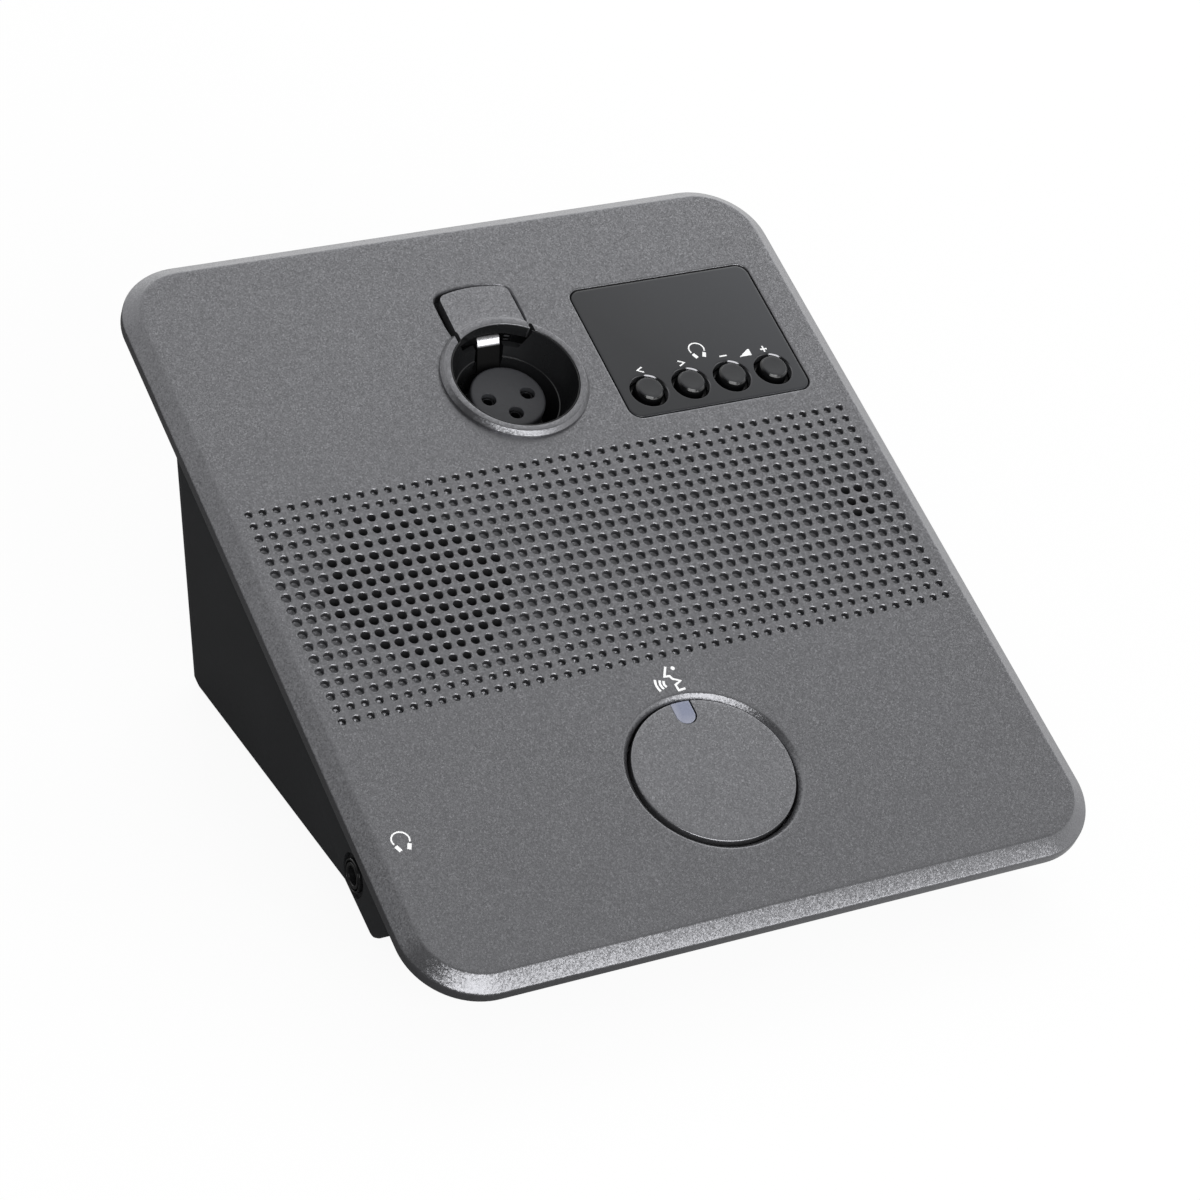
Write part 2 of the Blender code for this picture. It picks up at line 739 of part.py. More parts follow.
def tab_outline(gap):
    """The release tab seen from above, grown by gap: straight sides, an arc concentric with the socket."""
    half = TAB_WIDTH / 2 + gap
    reach = TAB_REACH + gap
    corner = TAB_CORNER + gap
    near = COLLAR_BORE / 2 - gap
    start = math.asin((half - corner) / (reach - corner))
    centre_x = half - corner
    centre_y = (reach - corner) * math.cos(start)
    points = [(half, SOCKET_UP + near)]
    for step in range(CORNER_STEPS + 1):
        angle = (math.pi / 2 - start) * step / CORNER_STEPS
        points.append((centre_x + corner * math.cos(angle), SOCKET_UP + centre_y + corner * math.sin(angle)))
    for step in range(1, CORNER_STEPS):
        angle = start * (1 - 2 * step / CORNER_STEPS)
        points.append((reach * math.sin(angle), SOCKET_UP + reach * math.cos(angle)))
    for step in range(CORNER_STEPS + 1):
        angle = (math.pi / 2 - start) * (1 - step / CORNER_STEPS)
        points.append((-centre_x - corner * math.cos(angle),
                       SOCKET_UP + centre_y + corner * math.sin(angle)))
    points.append((-half, SOCKET_UP + near))
    return points


def collar_profile(base):
    """The raised collar round the socket: a leaning outer face and a flat top."""
    return [(COLLAR_BORE, COLLAR_HEIGHT), (COLLAR_TOP_RADIUS, COLLAR_HEIGHT),
            (COLLAR_RADIUS, COLLAR_FOOT), (COLLAR_RADIUS, base), (COLLAR_BORE, base)]


def make_top_panel(parent, material):
    """The painted panel: chamfered edge, rim, collar, guide tube and screw bosses, with its openings."""
    def ring(shrink, height):
        outline = rounded_rectangle(PANEL_WIDTH - 2 * shrink, PANEL_LENGTH - 2 * shrink,
                                    PANEL_CORNER - shrink)
        return [(x, y, height) for x, y in outline]
    plate = loft([ring(CHAMFER_WIDTH, 0), ring(0, -CHAMFER_DROP), ring(0, -RIM_DEPTH),
                  ring(RIM_WALL, -RIM_DEPTH), ring(RIM_WALL, UNDERSIDE)])
    panel = new_object("top_panel", [plate], parent, material)
    root = UNDERSIDE + SINK
    collar = turned(collar_profile(-SINK), FINE, 0, SOCKET_UP)
    guide = turned([(TALK_WELL_RADIUS + TALK_GUIDE_WALL, root),
                    (TALK_WELL_RADIUS + TALK_GUIDE_WALL, -TALK_GUIDE_DEPTH),
                    (TALK_WELL_RADIUS, -TALK_GUIDE_DEPTH), (TALK_WELL_RADIUS, root)], FINE, 0, -TALK_DROP)
    bosses = [rod(BOSS_RADIUS, -BOSS_DEPTH, root, COARSE, *place) for place in pillar_places()]
    ears = [rod(SMALL_BOSS_RADIUS, FLANGE_TOP + FIT, root, COARSE, *place) for place in ear_places()]
    keys = [rod(SMALL_BOSS_RADIUS, FIT - KEY_BOARD_DEPTH, root, COARSE, *place)
            for place in key_boss_places()]
    front = [rod(SMALL_BOSS_RADIUS, FIT - FRONT_BOARD_DEPTH, root, COARSE, *place)
             for place in front_boss_places()]
    speaker = [rod(SMALL_BOSS_RADIUS, SPEAKER_SEAT + FIT, root, COARSE, *place)
               for place in speaker_screw_places()]
    lugs = [lug_solid(side) for side in (-1, 1)]
    combine(panel, [collar, guide] + bosses + ears + keys + front + speaker + lugs, "UNION", "adds")
    combine(panel, panel_openings(), "DIFFERENCE", "openings")
    combine(panel, blind_holes(), "DIFFERENCE", "blind_holes")
    combine(panel, panel_bores(), "DIFFERENCE", "bores")
    combine(panel, [window_pocket(), tab_opening()], "DIFFERENCE", "pockets")
    return panel


def lug_solid(side):
    """One of the two lugs under the panel that hold the tab's hinge pin."""
    inner = CUT_HALF_WIDTH + FIT
    outer = inner + LUG_LENGTH
    low = -PIVOT_DEPTH - BARREL_RADIUS
    foot = BARREL_RADIUS * LUG_FOOT_SHARE
    outline = [(PIVOT_UP + BARREL_RADIUS, UNDERSIDE + SINK), (PIVOT_UP - BARREL_RADIUS, UNDERSIDE + SINK),
               (PIVOT_UP - foot, low), (PIVOT_UP + foot, low)]
    return cross_prism(outline, side * inner, side * outer)


def panel_openings():
    """What is cut right through the plate: talk well, socket, loudspeaker field and vents."""
    chamfer = TALK_WELL_CHAMFER
    well = turned([(0, OVERRUN), (TALK_WELL_RADIUS + chamfer + OVERRUN, OVERRUN),
                   (TALK_WELL_RADIUS, -chamfer),
                   (TALK_WELL_RADIUS, -TALK_GUIDE_DEPTH - OVERRUN), (0, -TALK_GUIDE_DEPTH - OVERRUN)],
                  FINE, 0, -TALK_DROP)
    socket = rod(COLLAR_BORE, UNDERSIDE - OVERRUN, COLLAR_HEIGHT + OVERRUN, FINE, 0, SOCKET_UP)
    low = UNDERSIDE - OVERRUN
    holes = [rod(hole_diameter(row) / 2, low, OVERRUN, HOLE_SIDES, *hole_place(column, row))
             for column, row in field_holes() + vent_holes()]
    return [well, socket] + holes


def panel_bores():
    """Screw bores in the bosses and the pin's bores in the lugs."""
    case = [rod(CASE_SCREW_RADIUS + FIT, -BOSS_DEPTH - OVERRUN, -CASE_SCREW_BITE + FIT, COARSE, *place)
            for place in pillar_places()]
    bore = SMALL_SCREW_RADIUS + FIT
    ears = [rod(bore, FLANGE_TOP - OVERRUN, FLANGE_TOP + SMALL_BITE + 2 * FIT, COARSE, *place)
            for place in ear_places()]
    keys = [rod(bore, -KEY_BOARD_DEPTH - OVERRUN, SMALL_BITE + 2 * FIT - KEY_BOARD_DEPTH, COARSE, *place)
            for place in key_boss_places()]
    front_top = SMALL_BITE + 2 * FIT - FRONT_BOARD_DEPTH
    front = [rod(bore, -FRONT_BOARD_DEPTH - OVERRUN, front_top, COARSE, *place)
             for place in front_boss_places()]
    speaker = [rod(bore, SPEAKER_SEAT - OVERRUN, speaker_screw_top() + FIT, COARSE, *place)
               for place in speaker_screw_places()]
    reach = CUT_HALF_WIDTH + LUG_LENGTH + OVERRUN
    pin = cross_turned([(0, -reach), (PIN_RADIUS + FIT, -reach), (PIN_RADIUS + FIT, reach), (0, reach)],
                       COARSE, PIVOT_UP, -PIVOT_DEPTH)
    return case + ears + keys + front + speaker + [pin]


def speaker_screw_top():
    """How high a loudspeaker screw reaches into its boss, short of the panel's face."""
    return UNDERSIDE - FIT


def window_pocket():
    """The stepped opening that takes the window: a pocket with a ledge under it."""
    size = (WINDOW_WIDTH + 2 * FIT, WINDOW_HEIGHT + 2 * FIT, WINDOW_CORNER + FIT)
    ledge = (WINDOW_WIDTH - 2 * LEDGE_WIDTH, WINDOW_HEIGHT - 2 * LEDGE_WIDTH,
             WINDOW_CORNER - LEDGE_WIDTH / 2)
    floor = -LENS_RECESS - LENS - FIT
    rings = []
    for (width, height, radius), level in ((size, OVERRUN), (size, floor), (ledge, floor),
                                           (ledge, UNDERSIDE - OVERRUN)):
        outline = rounded_rectangle(width, height, radius, WINDOW_ACROSS, WINDOW_UP)
        rings.append([(x, y, level) for x, y in outline])
    return loft(rings)


def tab_opening():
    """The opening for the release tab, which also breaks the collar."""
    return prism(tab_outline(TAB_GAP), UNDERSIDE - OVERRUN, COLLAR_HEIGHT + OVERRUN)


def make_lower_housing(frames, material):
    """The black wedge under the panel: walls, toe, pillars and posts, with its openings."""
    side = HALF_HOUSING + OVERRUN
    housing = new_object("lower_housing", [cross_prism(side_outline(0), -side, side)], frames["panel"],
                         material)
    combine_with(housing, plan_block("lower_housing_plan", frames["wall"], 0), "INTERSECT")
    soften(housing, HOUSING_EDGE, 2)
    cavity = new_object("lower_housing_cavity", [cross_prism(side_outline(HOUSING_WALL), -side, side)],
                        frames["panel"])
    combine_with(cavity, plan_block("lower_housing_cavity_plan", frames["wall"], HOUSING_WALL), "INTERSECT")
    combine_with(housing, cavity, "DIFFERENCE")
    pillars = [rod(PILLAR_RADIUS, pillar_foot(along), pillar_top(), COARSE, across, along)
               for across, along in pillar_places()]
    combine(housing, pillars, "UNION", "pillars")
    post_solids = [rod(POST_RADIUS, HOUSING_WALL - SINK, POST_HEIGHT, COARSE, *place)
                   for place in post_places()]
    posts = new_object("lower_housing_posts", post_solids, frames["floor"])
    combine_with(housing, posts, "UNION")
    combine(housing, pillar_bores(), "DIFFERENCE", "pillar_bores")
    combine(housing, jack_opening(), "DIFFERENCE", "jack_opening")
    bore_foot = POST_HEIGHT - SMALL_BITE - 2 * FIT
    floor_cuts = [rod(SMALL_SCREW_RADIUS + FIT, bore_foot, POST_HEIGHT + OVERRUN, COARSE, *place)
                  for place in main_screw_places()]
    floor_cutter = new_object("lower_housing_floor_cuts", floor_cuts + [net_window()], frames["floor"])
    combine_with(housing, floor_cutter, "DIFFERENCE")
    combine_with(housing, new_object("lower_housing_foot_pockets", foot_solids(FIT, OVERRUN), None),
                 "DIFFERENCE")
    return housing


def plan_block(name, parent, shift):
    """A block along the leaning rear wall with round rear corners, moved inwards by shift."""
    depth = 2 * PANEL_LENGTH
    radius = REAR_CORNER_RADIUS - shift
    outline = rounded_rectangle(HOUSING_WIDTH - 2 * shift, depth, radius, 0, -depth / 2 - shift)
    return new_object(name, [prism(outline, -depth, depth)], parent)


def pillar_top():
    """The top of a case pillar, just under the panel's boss."""
    return -BOSS_DEPTH - FIT


def floor_depth(along):
    """How deep the floor's outer face lies under a place along the panel."""
    return BEND.y - (along - BEND.x) * FLOOR_SLOPE


def pillar_foot(along):
    """The bottom of a case pillar, sunk into the floor."""
    return floor_depth(along) + HOUSING_WALL


def pillar_bores():
    """In each pillar, a narrow bore through its web and a wide one below it, out of the floor."""
    cuts = []
    web_foot = pillar_top() - PILLAR_WEB
    for across, along in pillar_places():
        narrow, wide = CASE_SCREW_RADIUS + FIT, CASE_HEAD_RADIUS + FIT
        foot = floor_depth(along) - PILLAR_RADIUS - OVERRUN
        cuts.append(turned([(0, pillar_top() + OVERRUN), (narrow, pillar_top() + OVERRUN),
                            (narrow, web_foot), (wide, web_foot), (wide, foot), (0, foot)],
                           COARSE, across, along))
    return cuts


def jack_opening():
    """The headphone jack's hole through the left wall, with a shallow round recess."""
    outside = -HALF_HOUSING - OVERRUN
    recess_floor = -HALF_HOUSING + JACK_RECESS
    inside = -HALF_HOUSING + HOUSING_WALL + OVERRUN
    bush = JACK_BUSH_RADIUS + FIT
    return [cross_turned([(0, outside), (JACK_RECESS_RADIUS, outside), (JACK_RECESS_RADIUS, recess_floor),
                          (bush, recess_floor), (bush, inside), (0, inside)],
                         MEDIUM, JACK_BACK - HALF_LENGTH, -JACK_DEPTH)]


def post_places():
    """The main board's four posts, in the floor's frame."""
    return [(side * POST_ASIDE, along) for side in (-1, 1)
            for along in (MAIN_BOARD_FRONT + POST_INSET, MAIN_BOARD_REAR - POST_INSET)]


def main_screw_places():
    """The two posts, opposite each other, that take the main board's screws."""
    return post_places()[::3]


def main_board_top():
    """The height of the main board's upper face over the floor's outer face."""
    return POST_HEIGHT + FIT + BOARD


def net_places():
    """The two network sockets across the unit."""
    return [side * SOCKET_SPACING / 2 for side in (-1, 1)]


def net_window():
    """The rear wall's opening for the two network sockets."""
    low = main_board_top() + FIT
    width = SOCKET_SPACING + NET_WIDTH + 2 * NET_WINDOW_GAP
    outline = rectangle(width, 2 * NET_LENGTH, 0, MAIN_BOARD_REAR + NET_LENGTH)
    return prism(outline, low - NET_WINDOW_GAP, low + NET_HEIGHT + NET_WINDOW_GAP)


def to_world(along, height):
    """World y and z of a point given along and square to the panel."""
    cosine, sine = math.cos(TILT), math.sin(TILT)
    return PANEL_Y + along * cosine - height * sine, PANEL_Z + along * sine + height * cosine


def rear_foot_place():
    """World y and height of the floor's outer face over the rear feet."""
    along = REAR_CORNER.x - REAR_FOOT_IN
    return to_world(along, floor_depth(along))


def front_foot_place():
    """World y of the toe's lowest line."""
    ahead = Vector((SHELF_BACK - HALF_LENGTH, -SHELF_DEPTH)) - TOE
    back = BEND - TOE
    half_angle = back.angle(ahead) / 2
    bisector = (ahead.normalized() + back.normalized()).normalized()
    centre = TOE + bisector * (TOE_RADIUS / math.sin(half_angle))
    return to_world(centre.x, centre.y)[0]


def foot_solids(gap, below):
    """The four feet, or with a gap and a run below the table the pockets that they sit in."""
    rear_y, rear_z = rear_foot_place()
    rear_top = rear_z + FOOT_POCKET + (FIT if below else 0)
    front_top = FOOT_PROUD + FOOT_POCKET + (FIT if below else 0)
    solids = []
    for side in (-1, 1):
        solids.append(rod(REAR_FOOT_RADIUS + gap, -below, rear_top, MEDIUM, side * REAR_FOOT_ASIDE, rear_y))
    for side in (-1, 1):
        outline = rounded_rectangle(FRONT_FOOT_LENGTH + 2 * gap, FRONT_FOOT_WIDTH + 2 * gap,
                                    FRONT_FOOT_WIDTH / 3 + gap, side * FRONT_FOOT_ASIDE, front_foot_place())
        solids.append(prism(outline, -below, front_top))
    return solids


def make_feet(material):
    """Four rubber feet that stand level on the table."""
    names = ("foot_rear_left", "foot_rear_right", "foot_front_left", "foot_front_right")
    for name, solid in zip(names, foot_solids(0, 0)):
        new_object(name, [solid], None, material)


def make_socket(frames, materials):
    """The microphone socket: shell, insert, contacts and its two screws."""
    top = COLLAR_HEIGHT - SHELL_LIP
    outer = COLLAR_BORE - FIT
    inner = outer - SHELL_WALL
    barrel = BORE_RADIUS + BARREL_WALL
    flange_foot = FLANGE_TOP - FLANGE_THICKNESS
    profile = [(inner, top), (outer, top), (outer, FLANGE_TOP), (FLANGE_RADIUS, FLANGE_TOP),
               (FLANGE_RADIUS, flange_foot), (barrel, flange_foot), (barrel, -SHELL_DEPTH),
               (INSERT_RADIUS + FIT, -SHELL_DEPTH), (INSERT_RADIUS + FIT, BACK_WALL - SHELL_DEPTH),
               (BORE_RADIUS, BACK_WALL - SHELL_DEPTH), (BORE_RADIUS, -FUNNEL_DEPTH - SHELL_WALL),
               (FUNNEL_END_RADIUS, -FUNNEL_DEPTH)]
    shell = new_object("socket_shell", [turned(profile, FINE, 0, SOCKET_UP)], frames["panel"],
                       materials["black_plastic"])
    ears = [rod(EAR_RADIUS, flange_foot, FLANGE_TOP, COARSE, *place) for place in ear_places()]
    combine(shell, ears, "UNION", "ears")
    holes, tab_room, slot = shell_cuts(flange_foot)
    combine(shell, holes + [tab_room], "DIFFERENCE", "tab_room")
    combine(shell, [slot], "DIFFERENCE", "slot")
    make_insert(frames["panel"], materials)
    head_top = flange_foot - FIT
    screws = [screw_solid(place, head_top, SMALL_HEAD, SMALL_HEAD_RADIUS, SMALL_SCREW_RADIUS,
                           FLANGE_TOP + SMALL_BITE + FIT, COARSE) for place in ear_places()]
    numbered("socket_screw", screws, frames["panel"], materials["screw_steel"])


def shell_cuts(flange_foot):
    """The shell's screw holes, the room for the tab's front edge and the slot for the latch."""
    holes = [rod(SMALL_SCREW_RADIUS + FIT, flange_foot - OVERRUN, FLANGE_TOP + OVERRUN, COARSE, *place)
             for place in ear_places()]
    room_along = SOCKET_UP + BORE_RADIUS + COLLAR_RADIUS / 2
    tab_room = prism(rectangle(TAB_WIDTH + 2 * FIT, COLLAR_RADIUS, 0, room_along),
                     UNDERSIDE - TAB_UNDER / 2, COLLAR_HEIGHT + OVERRUN)
    near = SOCKET_UP + INSERT_RADIUS + 2 * FIT
    far = SOCKET_UP + COLLAR_BORE + FIT
    slot = prism(rectangle(LATCH_WIDTH + 4 * FIT, far - near, 0, (near + far) / 2), -LATCH_SLOT_DEPTH,
                 UNDERSIDE)
    return holes, tab_room, slot


def make_insert(parent, materials):
    """The insulating insert with three round holes, and a sprung contact sleeve in each."""
    foot = -SHELL_DEPTH
    insert = new_object("socket_insert", [rod(INSERT_RADIUS, foot, -INSERT_DEPTH, FINE, 0, SOCKET_UP)],
                        parent, materials["black_plastic"])
    places = [(-CONTACT_SPREAD, 0), (CONTACT_SPREAD, 0), (0, -CONTACT_SPREAD)]
    holes = [rod(CONTACT_HOLE, foot - OVERRUN, OVERRUN - INSERT_DEPTH, COARSE, x, SOCKET_UP + y)
             for x, y in places]
    combine(insert, holes, "DIFFERENCE", "holes")
    sleeve_end = foot + BACK_WALL
    tail = foot - CONTACT_TAIL
    profile = [(0, sleeve_end), (CONTACT_BORE, sleeve_end), (CONTACT_BORE, -CONTACT_DEPTH),
               (CONTACT_RADIUS, -CONTACT_DEPTH), (CONTACT_RADIUS, foot), (CONTACT_BORE / 2, foot),
               (CONTACT_BORE / 2, tail), (0, tail)]
    numbered("socket_contact", [turned(profile, COARSE, x, SOCKET_UP + y) for x, y in places],
             parent, materials["contact_metal"])


def make_release(frames, materials):
    """The release tab on its hinge pin, the steel latch that it carries and their spring."""
    hinge = frames["release"]
    drop, back = PIVOT_DEPTH, -PIVOT_UP

    def about_hinge(solid):
        vertices, faces = solid
        return [(x, y + back, z + drop) for x, y, z in vertices], faces

    tab = new_object("release_tab", [about_hinge(prism(tab_outline(0), -TAB_UNDER, TAB_PROUD))], hinge,
                     materials["grey_paint"])
    lip_profile = [(COLLAR_BORE - FIT, COLLAR_HEIGHT), (COLLAR_TOP_RADIUS, COLLAR_HEIGHT),
                   (COLLAR_RADIUS, TAB_PROUD - SINK), (COLLAR_BORE - FIT, TAB_PROUD - SINK)]
    lip = new_object("release_tab_lip", [about_hinge(turned(lip_profile, FINE, 0, SOCKET_UP))], hinge)
    combine(lip, [about_hinge(prism(tab_outline(0), -PLATE, COLLAR_HEIGHT + OVERRUN))], "INTERSECT", "limit")
    combine_with(tab, lip, "UNION")
    barrel = cross_turned([(0, -BARREL_LENGTH / 2), (BARREL_RADIUS, -BARREL_LENGTH / 2),
                           (BARREL_RADIUS, BARREL_LENGTH / 2), (0, BARREL_LENGTH / 2)], MEDIUM, 0, 0)
    combine(tab, [barrel], "UNION", "barrel")
    bore = cross_turned([(0, -BARREL_LENGTH), (PIN_RADIUS + FIT, -BARREL_LENGTH),
                         (PIN_RADIUS + FIT, BARREL_LENGTH), (0, BARREL_LENGTH)], COARSE, 0, 0)
    mouth = about_hinge(rod(COLLAR_BORE, -PLATE - OVERRUN, COLLAR_HEIGHT + OVERRUN, FINE, 0, SOCKET_UP))
    combine(tab, [bore, mouth], "DIFFERENCE", "bores")
    make_latch(hinge, about_hinge, materials["steel"])
    reach = CUT_HALF_WIDTH + LUG_LENGTH
    pin = cross_turned([(0, -reach), (PIN_RADIUS, -reach), (PIN_RADIUS, reach), (0, reach)],
                       COARSE, PIVOT_UP, -PIVOT_DEPTH)
    new_object("release_pin", [pin], frames["panel"], materials["steel"])
    spring = coil(LATCH_SPRING_RADIUS, LATCH_SPRING_WIRE, FLANGE_TOP + FIT, -TAB_UNDER - FIT, 6, 8, 5,
                  LATCH_SPRING_ASIDE, LATCH_SPRING_UP)
    new_object("release_spring", [spring], frames["panel"], materials["steel"])


def make_latch(hinge, about_hinge, material):
    """A bent steel strip: a flat seat under the tab, a leaning face and a hook into the bore."""
    seat = -TAB_UNDER - FIT - LATCH_SHEET / 2
    near = SOCKET_UP + COLLAR_BORE - FIT
    bend = (near, seat)
    hook = (near - LATCH_HOOK_IN, -LATCH_REACH_DEPTH)
    middle = (near - LATCH_HOOK_IN / 3, -TAB_UNDER - (LATCH_REACH_DEPTH - TAB_UNDER) / 3)
    path = [(near + LATCH_SEAT_LENGTH, seat), bend, middle, hook]
    strip = band(path, LATCH_SHEET, -LATCH_WIDTH / 2, LATCH_WIDTH / 2)
    new_object("release_latch", [about_hinge(strip)], hinge, material)


def make_window(frames, materials):
    """The smoked window, the display behind it and the key board that carries both switches and display."""
    lens_top = -LENS_RECESS
    outline = rounded_rectangle(WINDOW_WIDTH, WINDOW_HEIGHT, WINDOW_CORNER, WINDOW_ACROSS, WINDOW_UP)
    lens = new_object("window_lens", [prism(outline, lens_top - LENS, lens_top)], frames["panel"],
                      materials["smoked_window"])
    wells = [rod(KEY_WELL_RADIUS, lens_top - LENS - OVERRUN, lens_top + OVERRUN, MEDIUM, *place)
             for place in key_places()]
    combine(lens, wells, "DIFFERENCE", "wells")
    display_top = lens_top - LENS - FIT
    display_foot = FIT - KEY_BOARD_DEPTH
    opening_top = WINDOW_UP + WINDOW_HEIGHT / 2 - LEDGE_WIDTH
    display = rectangle(DISPLAY_WIDTH, DISPLAY_HEIGHT, WINDOW_ACROSS,
                        opening_top - DISPLAY_HEIGHT / 2 - 2 * FIT)
    new_object("display_module", [prism(display, display_foot, display_top)], frames["panel"],
               materials["display_glass"])
    board_outline = rounded_rectangle(KEY_BOARD_WIDTH, KEY_BOARD_REAR - KEY_BOARD_FRONT, BOARD_CORNER,
                                      WINDOW_ACROSS, (KEY_BOARD_REAR + KEY_BOARD_FRONT) / 2)
    board = new_object("key_board", [prism(board_outline, -KEY_BOARD_DEPTH - BOARD, -KEY_BOARD_DEPTH)],
                       frames["panel"], materials["board_green"])
    holes = [rod(SMALL_SCREW_RADIUS + FIT, -KEY_BOARD_DEPTH - BOARD - OVERRUN, OVERRUN - KEY_BOARD_DEPTH,
                 COARSE, *place) for place in key_boss_places()]
    combine(board, holes, "DIFFERENCE", "holes")
    for index, place in enumerate(key_places(), 1):
        make_switch(f"key_switch_{index}", place, FIT - KEY_BOARD_DEPTH, frames["panel"],
                    materials["black_plastic"])


def make_switch(name, place, foot, parent, material):
    """A small square switch with a round bore for the stem that works it."""
    top = foot + SWITCH_HEIGHT
    switch = new_object(name, [prism(rectangle(SWITCH_SIDE, SWITCH_SIDE, *place), foot, top)], parent,
                        material)
    combine(switch, [rod(SWITCH_BORE, foot + SWITCH_FLOOR, top + OVERRUN, COARSE, *place)], "DIFFERENCE",
            "bore")


def make_keys(frames, materials):
    """Four round keys: a bevelled cap, a flange behind the window and a stem into the switch."""
    flange_top = -LENS_RECESS - LENS - FIT
    flange_foot = flange_top - KEY_FLANGE
    stem = SWITCH_BORE - FIT
    stem_foot = 2 * FIT - KEY_BOARD_DEPTH + SWITCH_FLOOR + KEY_TRAVEL
    cap = [(0, KEY_PROUD), (KEY_FACE_RADIUS, KEY_PROUD), (KEY_RADIUS, KEY_PROUD - KEY_BEVEL),
           (KEY_RADIUS, flange_top), (KEY_FLANGE_RADIUS, flange_top), (KEY_FLANGE_RADIUS, flange_foot),
           (stem, flange_foot), (stem, stem_foot), (0, stem_foot)]
    for index, (across, along) in enumerate(key_places(), 1):
        axis = new_frame(f"key_{index}_axis", frames["panel"], (across, along, 0))
        new_object(f"key_{index}", [turned(cap, MEDIUM)], axis, materials["key_plastic"])


def make_talk_button(frames, materials):
    """The big talk button: a cap with skirt, flange and stem, its light window and its spring."""
    axis = frames["talk"]
    top = -TALK_RECESS
    ceiling = top - TALK_TOP
    flange_top = -TALK_GUIDE_DEPTH - FIT
    flange_foot = flange_top - TALK_FLANGE
    bore = TALK_RADIUS - TALK_SKIRT
    switch_foot = FIT - FRONT_BOARD_DEPTH
    stem = SWITCH_BORE - FIT
    stem_foot = switch_foot + SWITCH_FLOOR + FIT + TALK_TRAVEL
    profile = [(0, top), (TALK_RADIUS - TALK_EDGE, top), (TALK_RADIUS, top - TALK_EDGE),
               (TALK_RADIUS, flange_top), (TALK_FLANGE_RADIUS, flange_top),
               (TALK_FLANGE_RADIUS, flange_foot), (bore, flange_foot),
               (bore, ceiling), (TALK_STEM_RADIUS, ceiling), (TALK_STEM_RADIUS, -TALK_STEM_DEPTH),
               (stem, -TALK_STEM_DEPTH), (stem, stem_foot), (0, stem_foot)]
    cap = new_object("talk_button", [turned(profile, FINE)], axis, materials["grey_paint"])
    slot_foot = ceiling - 2 * FIT - SINK / 2
    combine(cap, [prism(light_outline(0, TALK_RADIUS + OVERRUN), slot_foot, top + OVERRUN)], "DIFFERENCE",
            "slot")
    make_light_window(axis, materials["lamp_window"], top, ceiling)
    spring = coil(TALK_SPRING_RADIUS, TALK_SPRING_WIRE, switch_foot, ceiling - FIT, 5, 10, 5, 0, -TALK_DROP)
    new_object("talk_spring", [spring], frames["panel"], materials["steel"])


def light_outline(shrink, far):
    """The light window seen from above, in the button's frame: a slot with a round inner end."""
    half = LIGHT_WIDTH / 2 - shrink
    centre = TALK_RADIUS - LIGHT_LENGTH + LIGHT_WIDTH / 2
    points = [(half, far), (-half, far)]
    for step in range(CORNER_STEPS * 2 + 1):
        angle = math.pi + math.pi * step / (CORNER_STEPS * 2)
        points.append((half * math.cos(angle), centre + half * math.sin(angle)))
    return points


def make_light_window(axis, material, top, ceiling):
    """The clear window in the cap: a face in the slot, a flange under the cap and a post to the lamp."""
    centre = TALK_RADIUS - LIGHT_LENGTH + LIGHT_WIDTH / 2
    flange_top = ceiling - FIT
    flange_foot = flange_top - LIGHT_FLANGE
    face = prism(light_outline(FIT, TALK_RADIUS + OVERRUN), flange_top - SINK / 2, top)
    window = new_object("talk_light_window", [face], axis, material)
    rim = turned([(0, top + OVERRUN), (TALK_RADIUS - TALK_EDGE - OVERRUN, top + OVERRUN),
                  (TALK_RADIUS, top - TALK_EDGE), (TALK_RADIUS, flange_foot), (0, flange_foot)], FINE)
    combine(window, [rim], "INTERSECT", "rim")
    far = TALK_RADIUS - TALK_SKIRT - FIT
    near = far - LIGHT_FLANGE_LENGTH
    plate = prism(rectangle(LIGHT_WIDTH, far - near, 0, (far + near) / 2), flange_foot, flange_top)
    post_foot = lamp_top() + FIT + TALK_TRAVEL
    post = rod(LIGHT_POST_RADIUS, post_foot, flange_foot + SINK / 2, COARSE, 0, centre)
    combine(window, [plate], "UNION", "plate")
    combine(window, [post], "UNION", "post")


def lamp_top():
    """The top of the lamp on the front board."""
    return FIT - FRONT_BOARD_DEPTH + LAMP_HEIGHT


def make_front_board(frames, materials):
    """The board under the talk button, with the talk switch and the lamp."""
    width = FRONT_BOARD_LEFT + FRONT_BOARD_RIGHT
    depth = FRONT_BOARD_FRONT - FRONT_BOARD_REAR
    outline = rounded_rectangle(width, depth, BOARD_CORNER, (FRONT_BOARD_RIGHT - FRONT_BOARD_LEFT) / 2,
                                -(FRONT_BOARD_FRONT + FRONT_BOARD_REAR) / 2)
    board = new_object("front_board", [prism(outline, -FRONT_BOARD_DEPTH - BOARD, -FRONT_BOARD_DEPTH)],
                       frames["panel"], materials["board_green"])
    holes = [rod(SMALL_SCREW_RADIUS + FIT, -FRONT_BOARD_DEPTH - BOARD - OVERRUN, OVERRUN - FRONT_BOARD_DEPTH,
                 COARSE, *place) for place in front_boss_places()]
    combine(board, holes, "DIFFERENCE", "holes")
    foot = FIT - FRONT_BOARD_DEPTH
    make_switch("talk_switch", (0, -TALK_DROP), foot, frames["panel"], materials["black_plastic"])
    lamp_along = TALK_RADIUS - LIGHT_LENGTH + LIGHT_WIDTH / 2 - TALK_DROP
    new_object("talk_lamp", [prism(rectangle(LAMP_SIDE, LAMP_SIDE, 0, lamp_along), foot, lamp_top())],
               frames["panel"], materials["lamp"])


